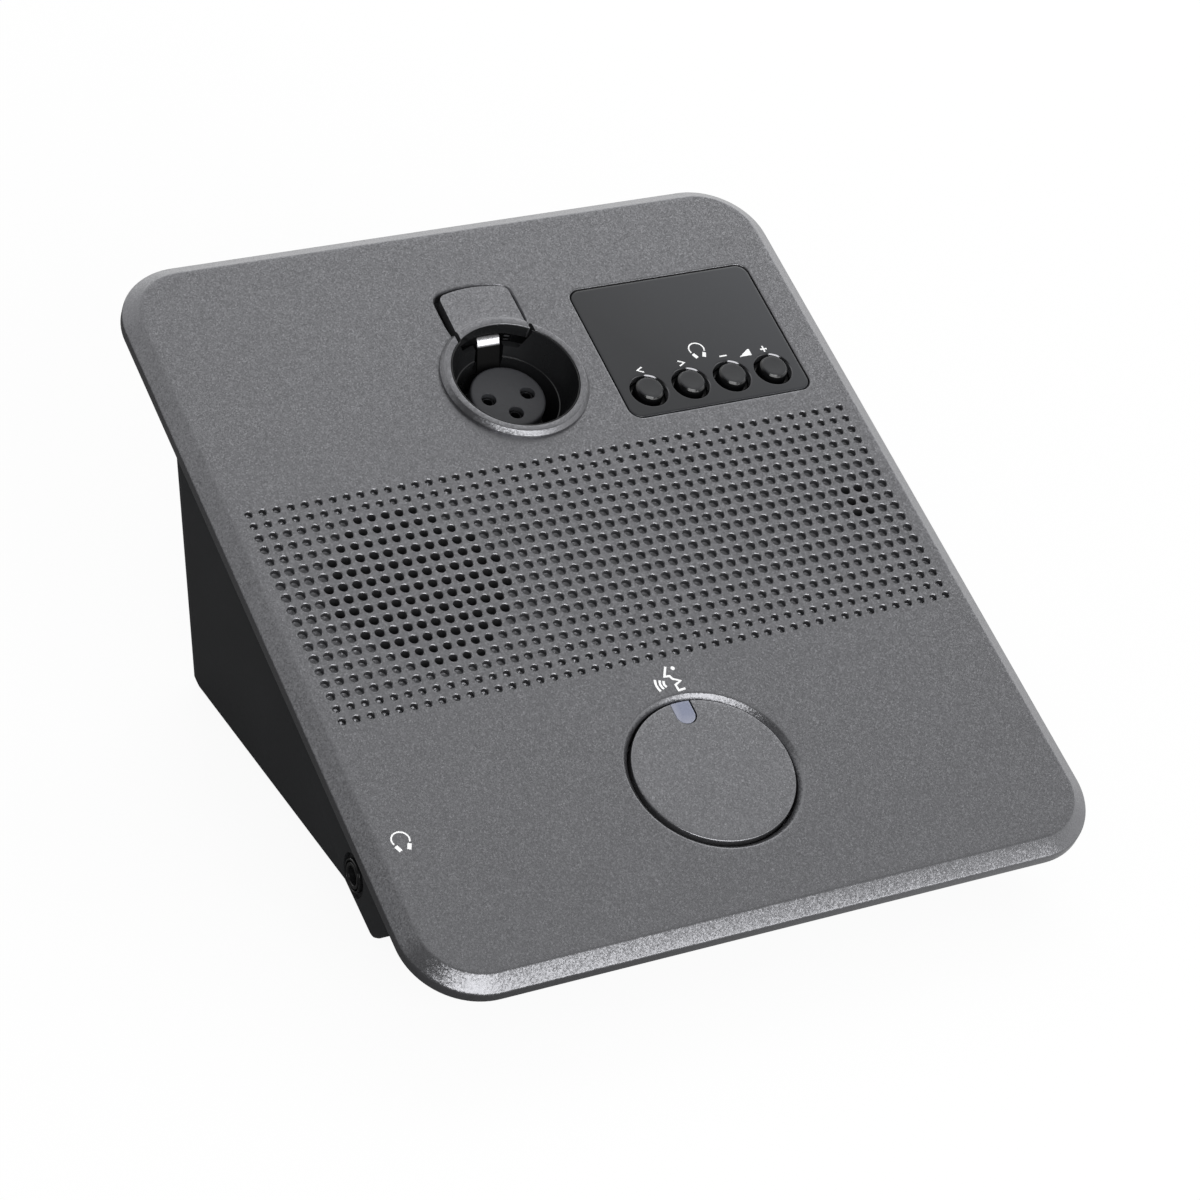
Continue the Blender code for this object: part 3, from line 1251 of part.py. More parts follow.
def make_headphone_jack(frames, materials):
    """The headphone jack under the front board: body with bush, and the ring nut outside."""
    along = JACK_BACK - HALF_LENGTH
    inner_wall = -HALF_HOUSING + HOUSING_WALL + FIT
    end = inner_wall + JACK_BODY_LENGTH
    top = -FRONT_BOARD_DEPTH - BOARD - FIT
    low = -JACK_DEPTH - JACK_BODY_UNDER
    body = rectangle(JACK_BODY_WIDTH, top - low, along, (top + low) / 2)
    jack = new_object("headphone_jack", [cross_prism(body, inner_wall, end)], frames["panel"],
                      materials["black_plastic"])
    face = -HALF_HOUSING + JACK_RECESS - JACK_NUT - FIT
    bush = cross_turned([(0, face), (JACK_BUSH_RADIUS, face), (JACK_BUSH_RADIUS, inner_wall + SINK),
                         (0, inner_wall + SINK)], MEDIUM, along, -JACK_DEPTH)
    combine(jack, [bush], "UNION", "bush")
    bore_end = end - JACK_END_WALL
    bore = cross_turned([(0, face - OVERRUN), (JACK_BORE, face - OVERRUN), (JACK_BORE, bore_end),
                         (0, bore_end)],
                        COARSE, along, -JACK_DEPTH)
    combine(jack, [bore], "DIFFERENCE", "bore")
    nut_in = -HALF_HOUSING + JACK_RECESS - FIT
    nut_out = nut_in - JACK_NUT
    ring = cross_turned([(JACK_BUSH_RADIUS + FIT, nut_out), (JACK_NUT_RADIUS, nut_out),
                         (JACK_NUT_RADIUS, nut_in), (JACK_BUSH_RADIUS + FIT, nut_in)],
                        MEDIUM, along, -JACK_DEPTH)
    new_object("headphone_jack_nut", [ring], frames["panel"], materials["black_plastic"])


def make_speaker(frames, materials):
    """The loudspeaker under the field of holes: cloth, gasket, basket, cone, magnet and screws."""
    centre = speaker_place()
    cloth_top = UNDERSIDE - FIT
    cloth_foot = cloth_top - SPEAKER_CLOTH
    new_object("speaker_cloth", [rod(SPEAKER_RADIUS, cloth_foot, cloth_top, MEDIUM, *centre)],
               frames["panel"], materials["black_cloth"])
    gasket_top = cloth_foot - FIT
    gasket_foot = gasket_top - GASKET
    gasket = turned([(GASKET_RADIUS, gasket_top), (SPEAKER_RADIUS, gasket_top),
                     (SPEAKER_RADIUS, gasket_foot), (GASKET_RADIUS, gasket_foot)], MEDIUM, *centre)
    new_object("speaker_gasket", [gasket], frames["panel"], materials["gasket_foam"])
    rim_foot = SPEAKER_SEAT - BASKET_RIM
    foot = SPEAKER_SEAT - BASKET_DEPTH
    throat = CONE_NECK_RADIUS + CONE_SHEET + FIT
    profile = [(GASKET_RADIUS, SPEAKER_SEAT), (SPEAKER_RADIUS, SPEAKER_SEAT), (SPEAKER_RADIUS, rim_foot),
               (BASKET_RADIUS, rim_foot), (BASKET_FOOT_RADIUS + BASKET_WALL, foot), (throat, foot),
               (throat, foot + BASKET_WALL), (BASKET_FOOT_RADIUS, foot + BASKET_WALL),
               (GASKET_RADIUS, rim_foot)]
    basket = new_object("speaker_basket", [turned(profile, MEDIUM, *centre)], frames["panel"],
                        materials["black_plastic"])
    ears = [rod(SPEAKER_EAR_RADIUS, rim_foot, SPEAKER_SEAT, COARSE, *place)
            for place in speaker_screw_places()]
    combine(basket, ears, "UNION", "ears")
    holes = [rod(SMALL_SCREW_RADIUS + FIT, rim_foot - OVERRUN, SPEAKER_SEAT + OVERRUN, COARSE, *place)
             for place in speaker_screw_places()]
    combine(basket, holes, "DIFFERENCE", "holes")
    make_cone(frames["panel"], materials["cone_paper"], centre, foot)
    magnet_top = foot - FIT
    magnet_foot = magnet_top - MAGNET_HEIGHT
    pole_top = foot + BASKET_WALL
    pole = CONE_NECK_RADIUS - 2 * FIT
    magnet = turned([(0, pole_top), (pole, pole_top), (pole, magnet_top), (MAGNET_RADIUS, magnet_top),
                     (MAGNET_RADIUS, magnet_foot), (0, magnet_foot)], MEDIUM, *centre)
    new_object("speaker_magnet", [magnet], frames["panel"], materials["magnet_metal"])
    screws = [screw_solid(place, rim_foot - FIT, SMALL_HEAD, SMALL_HEAD_RADIUS, SMALL_SCREW_RADIUS,
                           speaker_screw_top(), COARSE) for place in speaker_screw_places()]
    numbered("speaker_screw", screws, frames["panel"], materials["screw_steel"])


def make_cone(parent, material, centre, basket_foot):
    """The paper cone with its domed cap, seated just over the basket's inner edge and on the pole."""
    top = SPEAKER_SEAT - FIT
    neck_top = top - CONE_DEPTH
    neck_foot = basket_foot + BASKET_WALL + 2 * FIT
    dome = neck_top + CONE_NECK_RADIUS / 2
    sleeve = CONE_NECK_RADIUS + CONE_SHEET
    profile = [(0, dome), (CONE_NECK_RADIUS * DOME_SHOULDER_SHARE, dome - CONE_SHEET),
               (CONE_NECK_RADIUS, neck_top), (CONE_RADIUS, top), (CONE_RADIUS, top - CONE_SHEET),
               (sleeve, neck_top - CONE_SHEET), (sleeve, neck_foot), (CONE_NECK_RADIUS, neck_foot),
               (CONE_NECK_RADIUS, neck_top - 2 * CONE_SHEET), (0, dome - 2 * CONE_SHEET)]
    new_object("speaker_cone", [turned(profile, MEDIUM, *centre)], parent, material)


def make_main_board(frames, materials):
    """The main board on the housing's posts, with two network sockets and the processor."""
    length = MAIN_BOARD_REAR - MAIN_BOARD_FRONT
    middle = (MAIN_BOARD_REAR + MAIN_BOARD_FRONT) / 2
    foot, top = POST_HEIGHT + FIT, main_board_top()
    outline = rounded_rectangle(MAIN_BOARD_WIDTH, length, BOARD_CORNER, 0, middle)
    board = new_object("main_board", [prism(outline, foot, top)], frames["floor"], materials["board_green"])
    holes = [rod(SMALL_SCREW_RADIUS + FIT, foot - OVERRUN, top + OVERRUN, COARSE, *place)
             for place in main_screw_places()]
    combine(board, holes, "DIFFERENCE", "holes")
    make_network_sockets(frames["floor"], materials["steel"])
    seat = top + FIT
    chip = rectangle(CHIP_SIDE, CHIP_SIDE, -2 * CHIP_SIDE, middle)
    new_object("main_processor", [prism(chip, seat, seat + CHIP_HEIGHT)], frames["floor"],
               materials["black_plastic"])


def make_network_sockets(parent, material):
    """A shielded box with two network sockets side by side, mouths and latch notches to the rear."""
    foot = main_board_top() + FIT
    rear = MAIN_BOARD_REAR + NET_OVERHANG
    body = prism(rectangle(SOCKET_SPACING + NET_WIDTH, NET_LENGTH, 0, rear - NET_LENGTH / 2),
                 foot, foot + NET_HEIGHT)
    sockets = new_object("network_sockets", [body], parent, material)
    mouth_length = NET_MOUTH_DEPTH + OVERRUN
    mouth_centre = rear + OVERRUN - mouth_length / 2
    mouths = [prism(rectangle(NET_WIDTH - 2 * NET_WALL, mouth_length, across, mouth_centre),
                    foot + 2 * NET_WALL, foot + NET_HEIGHT - NET_WALL) for across in net_places()]
    notches = [prism(rectangle(NET_WIDTH / 2 - NET_WALL, mouth_length, across, mouth_centre),
                     foot + NET_WALL, foot + NET_HEIGHT / 2) for across in net_places()]
    combine(sockets, mouths, "DIFFERENCE", "mouths")
    combine(sockets, notches, "DIFFERENCE", "notches")


def make_screws(frames, material):
    """Case screws in the pillars, and the small screws of the three boards."""
    web_foot = pillar_top() - PILLAR_WEB
    case = [screw_solid(place, web_foot - FIT, CASE_HEAD, CASE_HEAD_RADIUS, CASE_SCREW_RADIUS,
                         -CASE_SCREW_BITE, COARSE) for place in pillar_places()]
    numbered("case_screw", case, frames["panel"], material)
    boards = (("key_board_screw", key_boss_places(), KEY_BOARD_DEPTH),
              ("front_board_screw", front_boss_places(), FRONT_BOARD_DEPTH))
    for name, places, depth in boards:
        screws = [screw_solid(place, -depth - BOARD - FIT, SMALL_HEAD, SMALL_HEAD_RADIUS, SMALL_SCREW_RADIUS,
                               SMALL_BITE - depth, COARSE) for place in places]
        numbered(name, screws, frames["panel"], material)
    seat = main_board_top() + FIT
    profile = [(0, seat + SMALL_HEAD), (SMALL_HEAD_RADIUS, seat + SMALL_HEAD), (SMALL_HEAD_RADIUS, seat),
               (SMALL_SCREW_RADIUS, seat), (SMALL_SCREW_RADIUS, POST_HEIGHT - SMALL_BITE),
               (0, POST_HEIGHT - SMALL_BITE)]
    screws = [turned(profile, COARSE, *place) for place in main_screw_places()]
    numbered("main_board_screw", screws, frames["floor"], material)


def floor_to_panel(along, height):
    """A point of the floor's frame, given in the panel's frame."""
    cosine, sine = math.cos(FLOOR_ANGLE), math.sin(FLOOR_ANGLE)
    return BEND.x + along * cosine + height * sine, BEND.y - along * sine + height * cosine


def smooth_run(start, end, start_pull, end_pull, steps):
    """Points along a smooth curve that leaves and meets its ends in given directions."""
    points = []
    for step in range(steps + 1):
        t = step / steps
        weights_share = ((1 - t) ** 3, 3 * t * (1 - t) ** 2, 3 * t * t * (1 - t), t ** 3)
        handles = (start, start + start_pull, end + end_pull, end)
        point = Vector((0, 0, 0))
        for handle, weight in zip(handles, weights_share):
            point += handle * weight
        points.append(point)
    return points


def board_landing(along, height):
    """A place on the main board in the panel's frame: y, z and the direction square to the board."""
    y, z = floor_to_panel(along, main_board_top() + FIT + height)
    return y, z, Vector((0, math.sin(FLOOR_ANGLE), math.cos(FLOOR_ANGLE)))


def make_run(name, solid, plugs, lower_plug, frames, material):
    """A ribbon or lead with its plugs: those given in the panel's frame and one on the main board."""
    run = new_object(name, [solid], frames["panel"], material)
    combine(run, plugs, "UNION", "upper_plug")
    combine_with(run, new_object(name + "_lower_plug", [lower_plug], frames["floor"]), "UNION")


def make_ribbons(frames, materials):
    """Flat ribbons from the key board and the front board to plugs that stand on the main board."""
    landing = MAIN_BOARD_FRONT + 2 * PLUG_WIDTH
    seat = main_board_top() + FIT
    runs = (("key_ribbon", WINDOW_ACROSS - PLUG_LENGTH / 2, KEY_BOARD_FRONT + 2 * PLUG_WIDTH,
             KEY_BOARD_DEPTH),
            ("front_ribbon", 0, -FRONT_BOARD_REAR - PLUG_WIDTH, FRONT_BOARD_DEPTH))
    for name, across, along, depth in runs:
        top = -depth - BOARD - FIT
        plug = prism(rectangle(PLUG_LENGTH, PLUG_WIDTH, across, along), top - PLUG_HEIGHT, top)
        lower_plug = prism(rectangle(PLUG_LENGTH, PLUG_WIDTH, across, landing), seat, seat + PLUG_HEIGHT)
        start = Vector((0, along, SINK - PLUG_HEIGHT + top))
        y, z, upright = board_landing(landing, PLUG_HEIGHT - SINK)
        end = Vector((0, y, z))
        pull = (start - end).length / 3
        path = smooth_run(start, end, Vector((0, 0, -pull)), upright * pull, RUN_STEPS)
        half = RIBBON_WIDTH / 2
        ribbon = band([(point.y, point.z) for point in path], RIBBON_THICKNESS, across - half, across + half)
        make_run(name, ribbon, [plug], lower_plug, frames, materials["ribbon"])


def make_leads(frames, materials):
    """Round leads from the socket's contacts and from the loudspeaker to plugs on the main board."""
    seat = main_board_top() + FIT
    socket_top = -SHELL_DEPTH - CONTACT_TAIL - FIT
    socket_plug = rod(SOCKET_PLUG_RADIUS, socket_top - PLUG_HEIGHT, socket_top, MEDIUM, 0, SOCKET_UP)
    across, along = speaker_place()
    speaker_top = SPEAKER_SEAT - BASKET_RIM - FIT
    tag = BASKET_RADIUS + FIT + SPEAKER_PLUG_SIDE / 2
    speaker_plug = prism(rectangle(SPEAKER_PLUG_SIDE, SPEAKER_PLUG_SIDE, across + tag, along),
                         speaker_top - PLUG_HEIGHT, speaker_top)
    leads = (("socket_lead", Vector((0, SOCKET_UP, socket_top)), socket_plug, SOCKET_LEAD_RADIUS, CHIP_SIDE,
              LEAD_LANDING),
             ("speaker_lead", Vector((across + tag, along, speaker_top)), speaker_plug, SPEAKER_LEAD_RADIUS,
              -2 * CHIP_SIDE, LEAD_LANDING))
    for name, start, plug, radius, end_across, end_along in leads:
        lower_plug = prism(rectangle(SPEAKER_PLUG_SIDE, SPEAKER_PLUG_SIDE, end_across, end_along), seat,
                           seat + PLUG_HEIGHT)
        y, z, upright = board_landing(end_along, PLUG_HEIGHT - SINK)
        end = Vector((end_across, y, z))
        start.z += SINK - PLUG_HEIGHT
        pull = (start - end).length / 3
        path = smooth_run(start, end, Vector((0, 0, -pull / 3)), upright * pull, RUN_STEPS)
        make_run(name, tube(path, radius, LEAD_SIDES), [plug], lower_plug, frames, materials["lead_vinyl"])


def make_frames():
    """The empties that carry the pieces."""
    panel = new_frame("panel_frame", None, (0, PANEL_Y, PANEL_Z), TILT)
    return {
        "panel": panel,
        "floor": new_frame("floor_frame", panel, (0, BEND.x, BEND.y), -FLOOR_ANGLE),
        "wall": new_frame("wall_frame", panel, (0, REAR_TOP, HOUSING_TOP), REAR_WALL_ANGLE - math.pi / 2),
        "talk": new_frame("talk_axis", panel, (0, -TALK_DROP, 0)),
        "release": new_frame("release_axis", panel, (0, PIVOT_UP, -PIVOT_DEPTH)),
    }


def main():
    """Builds every piece of the unit."""
    clear_scene()
    materials = make_materials()
    frames = make_frames()
    make_top_panel(frames["panel"], materials["grey_paint"])
    make_lower_housing(frames, materials["black_plastic"])
    make_feet(materials["foot_rubber"])
    make_socket(frames, materials)
    make_release(frames, materials)
    make_window(frames, materials)
    make_keys(frames, materials)
    make_talk_button(frames, materials)
    make_front_board(frames, materials)
    make_headphone_jack(frames, materials)
    make_speaker(frames, materials)
    make_main_board(frames, materials)
    make_ribbons(frames, materials)
    make_leads(frames, materials)
    make_screws(frames, materials["screw_steel"])


main()
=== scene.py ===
"""Dressed model of the conference delegate unit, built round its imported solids.

Shapes are worked out in the sloping panel's own frame, in millimetres: x across the panel, y up
the slope to the rear, z square out of the panel, from the middle of its top face. A piece is a
set of surfaces on numpy grids that share their edge points, welded into one mesh.
"""
import math

import bmesh
import bpy
import numpy as np
from mathutils import Matrix, Vector
from mathutils.geometry import delaunay_2d_cdt


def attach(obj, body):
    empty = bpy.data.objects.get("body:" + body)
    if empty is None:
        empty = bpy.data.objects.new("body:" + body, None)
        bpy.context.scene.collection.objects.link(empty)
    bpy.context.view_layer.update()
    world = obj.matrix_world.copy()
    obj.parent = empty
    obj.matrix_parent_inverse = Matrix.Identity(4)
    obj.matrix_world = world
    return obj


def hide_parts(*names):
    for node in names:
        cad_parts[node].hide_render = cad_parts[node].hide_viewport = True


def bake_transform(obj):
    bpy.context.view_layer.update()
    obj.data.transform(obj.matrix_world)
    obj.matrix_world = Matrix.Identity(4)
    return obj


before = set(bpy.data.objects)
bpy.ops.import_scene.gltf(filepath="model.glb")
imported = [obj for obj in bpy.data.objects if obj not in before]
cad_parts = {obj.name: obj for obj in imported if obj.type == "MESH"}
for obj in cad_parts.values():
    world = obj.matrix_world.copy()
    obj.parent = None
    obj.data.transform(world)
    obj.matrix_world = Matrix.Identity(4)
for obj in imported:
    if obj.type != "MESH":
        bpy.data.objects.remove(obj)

bl_info = {
    "name": "Conference delegate unit",
    "version": (1, 0, 0),
    "blender": (4, 5, 0),
    "location": "3D View > Sidebar > Delegate Unit",
    "description": "Dresses the packed delegate unit with its visible pieces, finishes and stage",
    "category": "Object",
}

# Place of the panel's frame: slope on the table, and its origin in metres
SLOPE = math.radians(20.2195)
PANEL_ORIGIN = (0.0, -0.0010973, 0.0426761)

# Panel
PANEL_SIZE, PANEL_CORNER = (138.0, 166.4), 14.0
CHAMFER_WIDTH, CHAMFER_DROP = 3.0, 2.05
RIM_DEPTH, RIM_WALL, PLATE = 4.3, 2.0, 2.5

# Grille
PITCH = 2.773
COLUMNS, ROWS = 46, 18
TOP_ROW = 21.8
FIELD_PLACE, FIELD_REACH = (9, 8), (6.28, 6.40)
VENT_COLUMNS, VENT_ROWS = (42, 43), (7, 8, 9)
SMALL_HOLE, MIDDLE_HOLE, FULL_HOLE = 1.45, 1.65, 1.85
CONE_DEPTH, CONE_TIP = 0.45, 0.02

# Microphone socket and release tab
SOCKET_UP = 42.06
COLLAR_RADIUS, COLLAR_TOP_RADIUS, COLLAR_BORE, COLLAR_HEIGHT, COLLAR_FOOT = 14.75, 14.0, 12.7, 1.4, 0.5
SHELL_OUTER = 12.4
FUNNEL_DEPTH, FUNNEL_END = 5.45, 10.4
BORE_RADIUS, BARREL_RADIUS = 9.6, 10.6
FLANGE_RADIUS, FLANGE_TOP, FLANGE_FOOT = 16.3, -8.3, -9.8
SHELL_FOOT, SHELL_FLOOR = -17.0, -15.5
INSERT_RADIUS, INSERT_TOP = 7.5, -5.2
CONTACT_SPREAD, CONTACT_HOLE, CONTACT_RADIUS, CONTACT_BORE = 4.14, 1.65, 1.35, 0.9
CONTACT_MOUTH, CONTACT_TOP, CONTACT_TAIL_FOOT = 1.45, -6.2, -20.0
CONTACT_PLACES = [(-CONTACT_SPREAD, SOCKET_UP), (CONTACT_SPREAD, SOCKET_UP), (0, SOCKET_UP - CONTACT_SPREAD)]
TAB_WIDTH, TAB_REACH, TAB_CORNER, TAB_GAP = 14.8, 23.1, 1.8, 0.85
TAB_TOP, TAB_FOOT, TAB_TRIM = 0.9, -1.4, 0.25
PIVOT_UP, PIVOT_OUT, PIVOT_BARREL, PIVOT_LENGTH = 61.0, -3.1, 1.9, 12.0
LATCH_HALF_WIDTH, LATCH_HALF_SHEET = 2.4, 0.3

# Housing: its front wall stands at FRONT_PLACE at FRONT_LEVEL and leans by FRONT_LEAN a millimetre of height
HOUSING_WIDTH, HOUSING_ROUNDING = 128.0, 5.0
FRONT_PLACE, FRONT_LEVEL, FRONT_LEAN = -75.46, -3.77, -0.2506
FEET = ("foot_rear_left", "foot_rear_right", "foot_front_left", "foot_front_right")

# Window and keys
WINDOW_SIZE, WINDOW_CORNER, WINDOW_PLACE = (39.6, 32.8), 2.4, (39.4, 44.35)
LENS_TOP, LENS_FOOT = -0.1, -1.6
LEDGE, GAP = 1.5, 0.3
KEY_ROW, KEY_SPACING = (39.4, 33.9), 9.2
KEY_PLACES = [(KEY_ROW[0] + step * KEY_SPACING, KEY_ROW[1]) for step in (-1.5, -0.5, 0.5, 1.5)]
KEY_WELL, KEY_WELL_BEVEL = 3.7, 0.32
KEY_SIDE, KEY_STEM, KEY_STEM_FOOT = 2.95, 1.6, -6.1
KEY_FLANGE, KEY_FLANGE_TOP, KEY_FLANGE_FOOT = 4.2, -1.9, -2.6

# Talk button
TALK_UP = -51.2
TALK_WELL, TALK_WELL_CHAMFER, TALK_RADIUS, TALK_TOP = 15.85, 1.0, 15.35, -0.1
GUIDE_WALL, GUIDE_FOOT = 1.75, -7.0
TALK_SKIRT_BORE, TALK_CEILING = 13.85, -2.1
TALK_FLANGE, TALK_FLANGE_TOP, TALK_FLANGE_FOOT = 17.2, -7.3, -8.2
TALK_POST, TALK_POST_FOOT, TALK_STEM, TALK_STEM_FOOT = 2.8, -8.6, 1.6, -11.5
LIGHT_WIDTH, LIGHT_LENGTH, LIGHT_FOOT, LIGHT_SEAT = 4.2, 5.05, -2.5, -2.95
LIGHT_CENTRE = TALK_RADIUS - LIGHT_LENGTH + LIGHT_WIDTH / 2

# Printed signs
INK_DEPTH, WINDOW_STROKE, WAVE_STROKE, FACE_STROKE = 0.02, 0.33, 0.46, 0.44

# Headphone jack, turned about a line across the unit
JACK_ALONG, JACK_OUT = -45.1, -19.2
JACK_FACE, JACK_RING_FOOT, JACK_BORE, JACK_BUSH, JACK_RING = -64.3, -63.5, 1.8, 2.5, 3.2

# Network sockets, in the frame of the floor: its tilt to the panel, and the panel's place of its origin
FLOOR_TILT, FLOOR_ORIGIN = math.radians(22.97), (-42.8, -24.2)
NET_FOOT, NET_REAR, NET_SPACING, NET_PIN_PITCH = 9.7, 78.3, 16.0, 1.02

# Loudspeaker's cloth and foam ring
CLOTH_RADIUS, CLOTH_FLAT, CLOTH_TOP, CLOTH_FOOT, CLOTH_SAG = 22.5, 21.6, -2.82, -3.12, 0.10
RING_MIDDLE, RING_REACH, RING_SQUARENESS = (20.35, -4.1), (2.1, 0.58), 4

# Stage: lamps as name, place, width, height and share of the front or rear power; the photograph's camera
LAMPS = (("front high", (-0.14, -0.88, 0.47), 0.85, 0.45, "front", 0.7),
         ("front low", (0.25, -0.92, 0.14), 0.75, 0.22, "front", 0.3),
         ("rear", (0.45, 0.75, 0.62), 0.9, 0.6, "rear", 1.0))
LAMP_TARGET = (0, 0, 0.04)
FLOOR_REACH = 4.0
LENS, SENSOR, CAMERA_PLACE = 109.55, 36.0, (-0.2923, -0.4951, 0.4019)
CAMERA_RIGHT, CAMERA_DOWN = (0.8856, -0.4548, 0.0945), (-0.1784, -0.5209, -0.8347)
CAMERA_AHEAD = (0.4289, 0.7224, -0.5424)

# Facets round a circle, the angle from which an edge is sharp, and where most of a noise's values lie
FINE, MEDIUM, HOLE_SIDES = 128, 64, 16
SHARP = math.radians(32)
NOISE_RANGE = (0.3, 0.7)


class FinishSettings(bpy.types.PropertyGroup):
    """Colours of the unit's finishes, as linear values."""
    paint: bpy.props.FloatVectorProperty(
        name="Panel paint", description="Metallic paint of the panel, talk button and release tab",
        subtype="COLOR", size=3, min=0, max=1, default=(0.172, 0.173, 0.182))
    plastic: bpy.props.FloatVectorProperty(
        name="Housing", description="Moulded black plastic of the housing and the socket",
        subtype="COLOR", size=3, min=0, max=1, default=(0.0310, 0.0320, 0.0340))
    window: bpy.props.FloatVectorProperty(
        name="Window", description="Smoked display window",
        subtype="COLOR", size=3, min=0, max=1, default=(0.0225, 0.0236, 0.0260))
    ink: bpy.props.FloatVectorProperty(
        name="Symbols", description="Printed symbols",
        subtype="COLOR", size=3, min=0, max=1, default=(0.93, 0.94, 0.95))
    lamp: bpy.props.FloatVectorProperty(
        name="Light window", description="Milky window in the talk button",
        subtype="COLOR", size=3, min=0, max=1, default=(0.185, 0.202, 0.278))
    flake: bpy.props.FloatProperty(
        name="Paint grain", description="Size of the paint's grain",
        subtype="DISTANCE", unit="LENGTH", min=0.00005, max=0.002, default=0.00030)


class GrilleSettings(bpy.types.PropertyGroup):
    """Sizes of the drilled field that don't change its lattice."""
    chamfer: bpy.props.FloatProperty(
        name="Hole edge", description="Width of the broken edge round each hole",
        subtype="DISTANCE", unit="LENGTH", min=0.00002, max=0.0003, default=0.00013)
    dimple: bpy.props.FloatProperty(
        name="Blind hole", description="Depth of the wall of the holes that don't go through the panel",
        subtype="DISTANCE", unit="LENGTH", min=0.0003, max=0.0015, default=0.00115)


class StageSettings(bpy.types.PropertyGroup):
    """Floor, light and ambient."""
    floor: bpy.props.FloatProperty(
        name="Floor", description="Reflectance of the pale floor",
        subtype="FACTOR", min=0, max=1, default=0.45)
    front: bpy.props.FloatProperty(
        name="Front light", description="Power of the wide soft light in front",
        subtype="POWER", unit="POWER", min=0, default=10.4)
    rear: bpy.props.FloatProperty(
        name="Rear light", description="Power of the soft light behind, to the right",
        subtype="POWER", unit="POWER", min=0, default=6.0)
    ambient: bpy.props.FloatProperty(
        name="Ambient", description="Strength of the room's own light",
        subtype="FACTOR", min=0, max=2, default=0.42)


# ---- shapes ----


def on_panel(points):
    """Panel millimetres to metres in the row's frame: a turn by the slope about x, then a shift."""
    across, along, out = np.asarray(points, float).reshape(-1, 3).T / 1000
    cosine, sine = math.cos(SLOPE), math.sin(SLOPE)
    x, y, z = PANEL_ORIGIN
    return np.stack([x + across, y + along * cosine - out * sine, z + along * sine + out * cosine], axis=1)


def polar(radius, angle, centre=(0.0, 0.0)):
    """Points at a radius and an angle from +x: centre + radius * (cos angle, sin angle)."""
    radius, angle = np.broadcast_arrays(radius, angle)
    return np.stack([centre[0] + radius * np.cos(angle), centre[1] + radius * np.sin(angle)], axis=-1)


def circle(radius, sides, centre=(0.0, 0.0)):
    """A closed loop of points at one radius."""
    return polar(radius, np.linspace(0, math.tau, sides, endpoint=False), centre)


def rounded_loop(width, height, radius, centre=(0.0, 0.0), steps=14):
    """A rectangle with corner arcs: each corner's centre plus radius * (cos a, sin a) over its quarter."""
    corners = []
    for quarter, (side_x, side_y) in enumerate(((1, 1), (-1, 1), (-1, -1), (1, -1))):
        middle = (centre[0] + side_x * (width / 2 - radius), centre[1] + side_y * (height / 2 - radius))
        corners.append(polar(radius, math.pi / 2 * (quarter + np.linspace(0, 1, steps + 1)), middle))
    return np.concatenate(corners)


def filleted(corners, steps=5):
    """A path through rows of (x, y, radius): straight runs whose corners are arcs tangent to both runs."""
    corners = np.asarray(corners, float)
    corners, radii = corners[:, :2], corners[:, 2]
    path = [corners[:1]]
    for before, corner, after, radius in zip(corners[:-2], corners[1:-1], corners[2:], radii[1:-1]):
        back = (before - corner) / np.linalg.norm(before - corner)
        ahead = (after - corner) / np.linalg.norm(after - corner)
        half = math.acos(np.clip(back @ ahead, -1, 1)) / 2
        if radius == 0 or half > 1.56:  # a sharp corner, or none to speak of
            path.append(corner[None])
            continue
        middle = corner + (back + ahead) / np.linalg.norm(back + ahead) * radius / math.sin(half)
        start = corner + back * radius / math.tan(half) - middle
        end = corner + ahead * radius / math.tan(half) - middle
        share = np.linspace(0, 1, steps)[:, None]
        sweep = math.pi - 2 * half
        path.append(middle + (start * np.sin((1 - share) * sweep) + end * np.sin(share * sweep)) / math.sin(sweep))
    return np.concatenate(path + [corners[-1:]])


def with_height(loop, height):
    """A plane loop lifted to a height."""
    return np.concatenate([loop, np.broadcast_to(height, loop.shape[:-1])[..., None]], axis=-1)


def turned(profile, sides, centre=(0.0, 0.0)):
    """Rings of a profile of (radius, height) turned about z: radius * (cos a, sin a) at each height."""
    profile = np.asarray(profile, float)
    angle = np.linspace(0, math.tau, sides, endpoint=False)
    return with_height(polar(profile[:, :1], angle[None], centre), profile[:, 1:])


def crosswise(points):
    """Points of something made upright, laid so that its axis runs across the unit."""
    return points[..., [2, 0, 1]]


def grid_faces(rings, stations, around=True, closed=False):
    """Quads between neighbouring points of a grid, wrapped round its stations or its rings."""
    ring = np.arange(rings if closed else rings - 1)[:, None]
    station = np.arange(stations if around else stations - 1)[None]
    after, below = (station + 1) % stations, (ring + 1) % rings * stations
    ring = ring * stations
    return np.stack([ring + station, ring + after, below + after, below + station], axis=-1).reshape(-1, 4)


def distinct(loop):
    """A closed loop without points that repeat their neighbour."""
    return loop[np.linalg.norm(loop - np.roll(loop, 1, axis=0), axis=1) > 1e-6]


def leftward(loop):
    """A closed loop turned so that it runs anticlockwise, by the sign of its area."""
    after = np.roll(loop, -1, axis=0)
    return loop if np.sum(loop[:, 0] * after[:, 1] - after[:, 0] * loop[:, 1]) > 0 else loop[::-1]


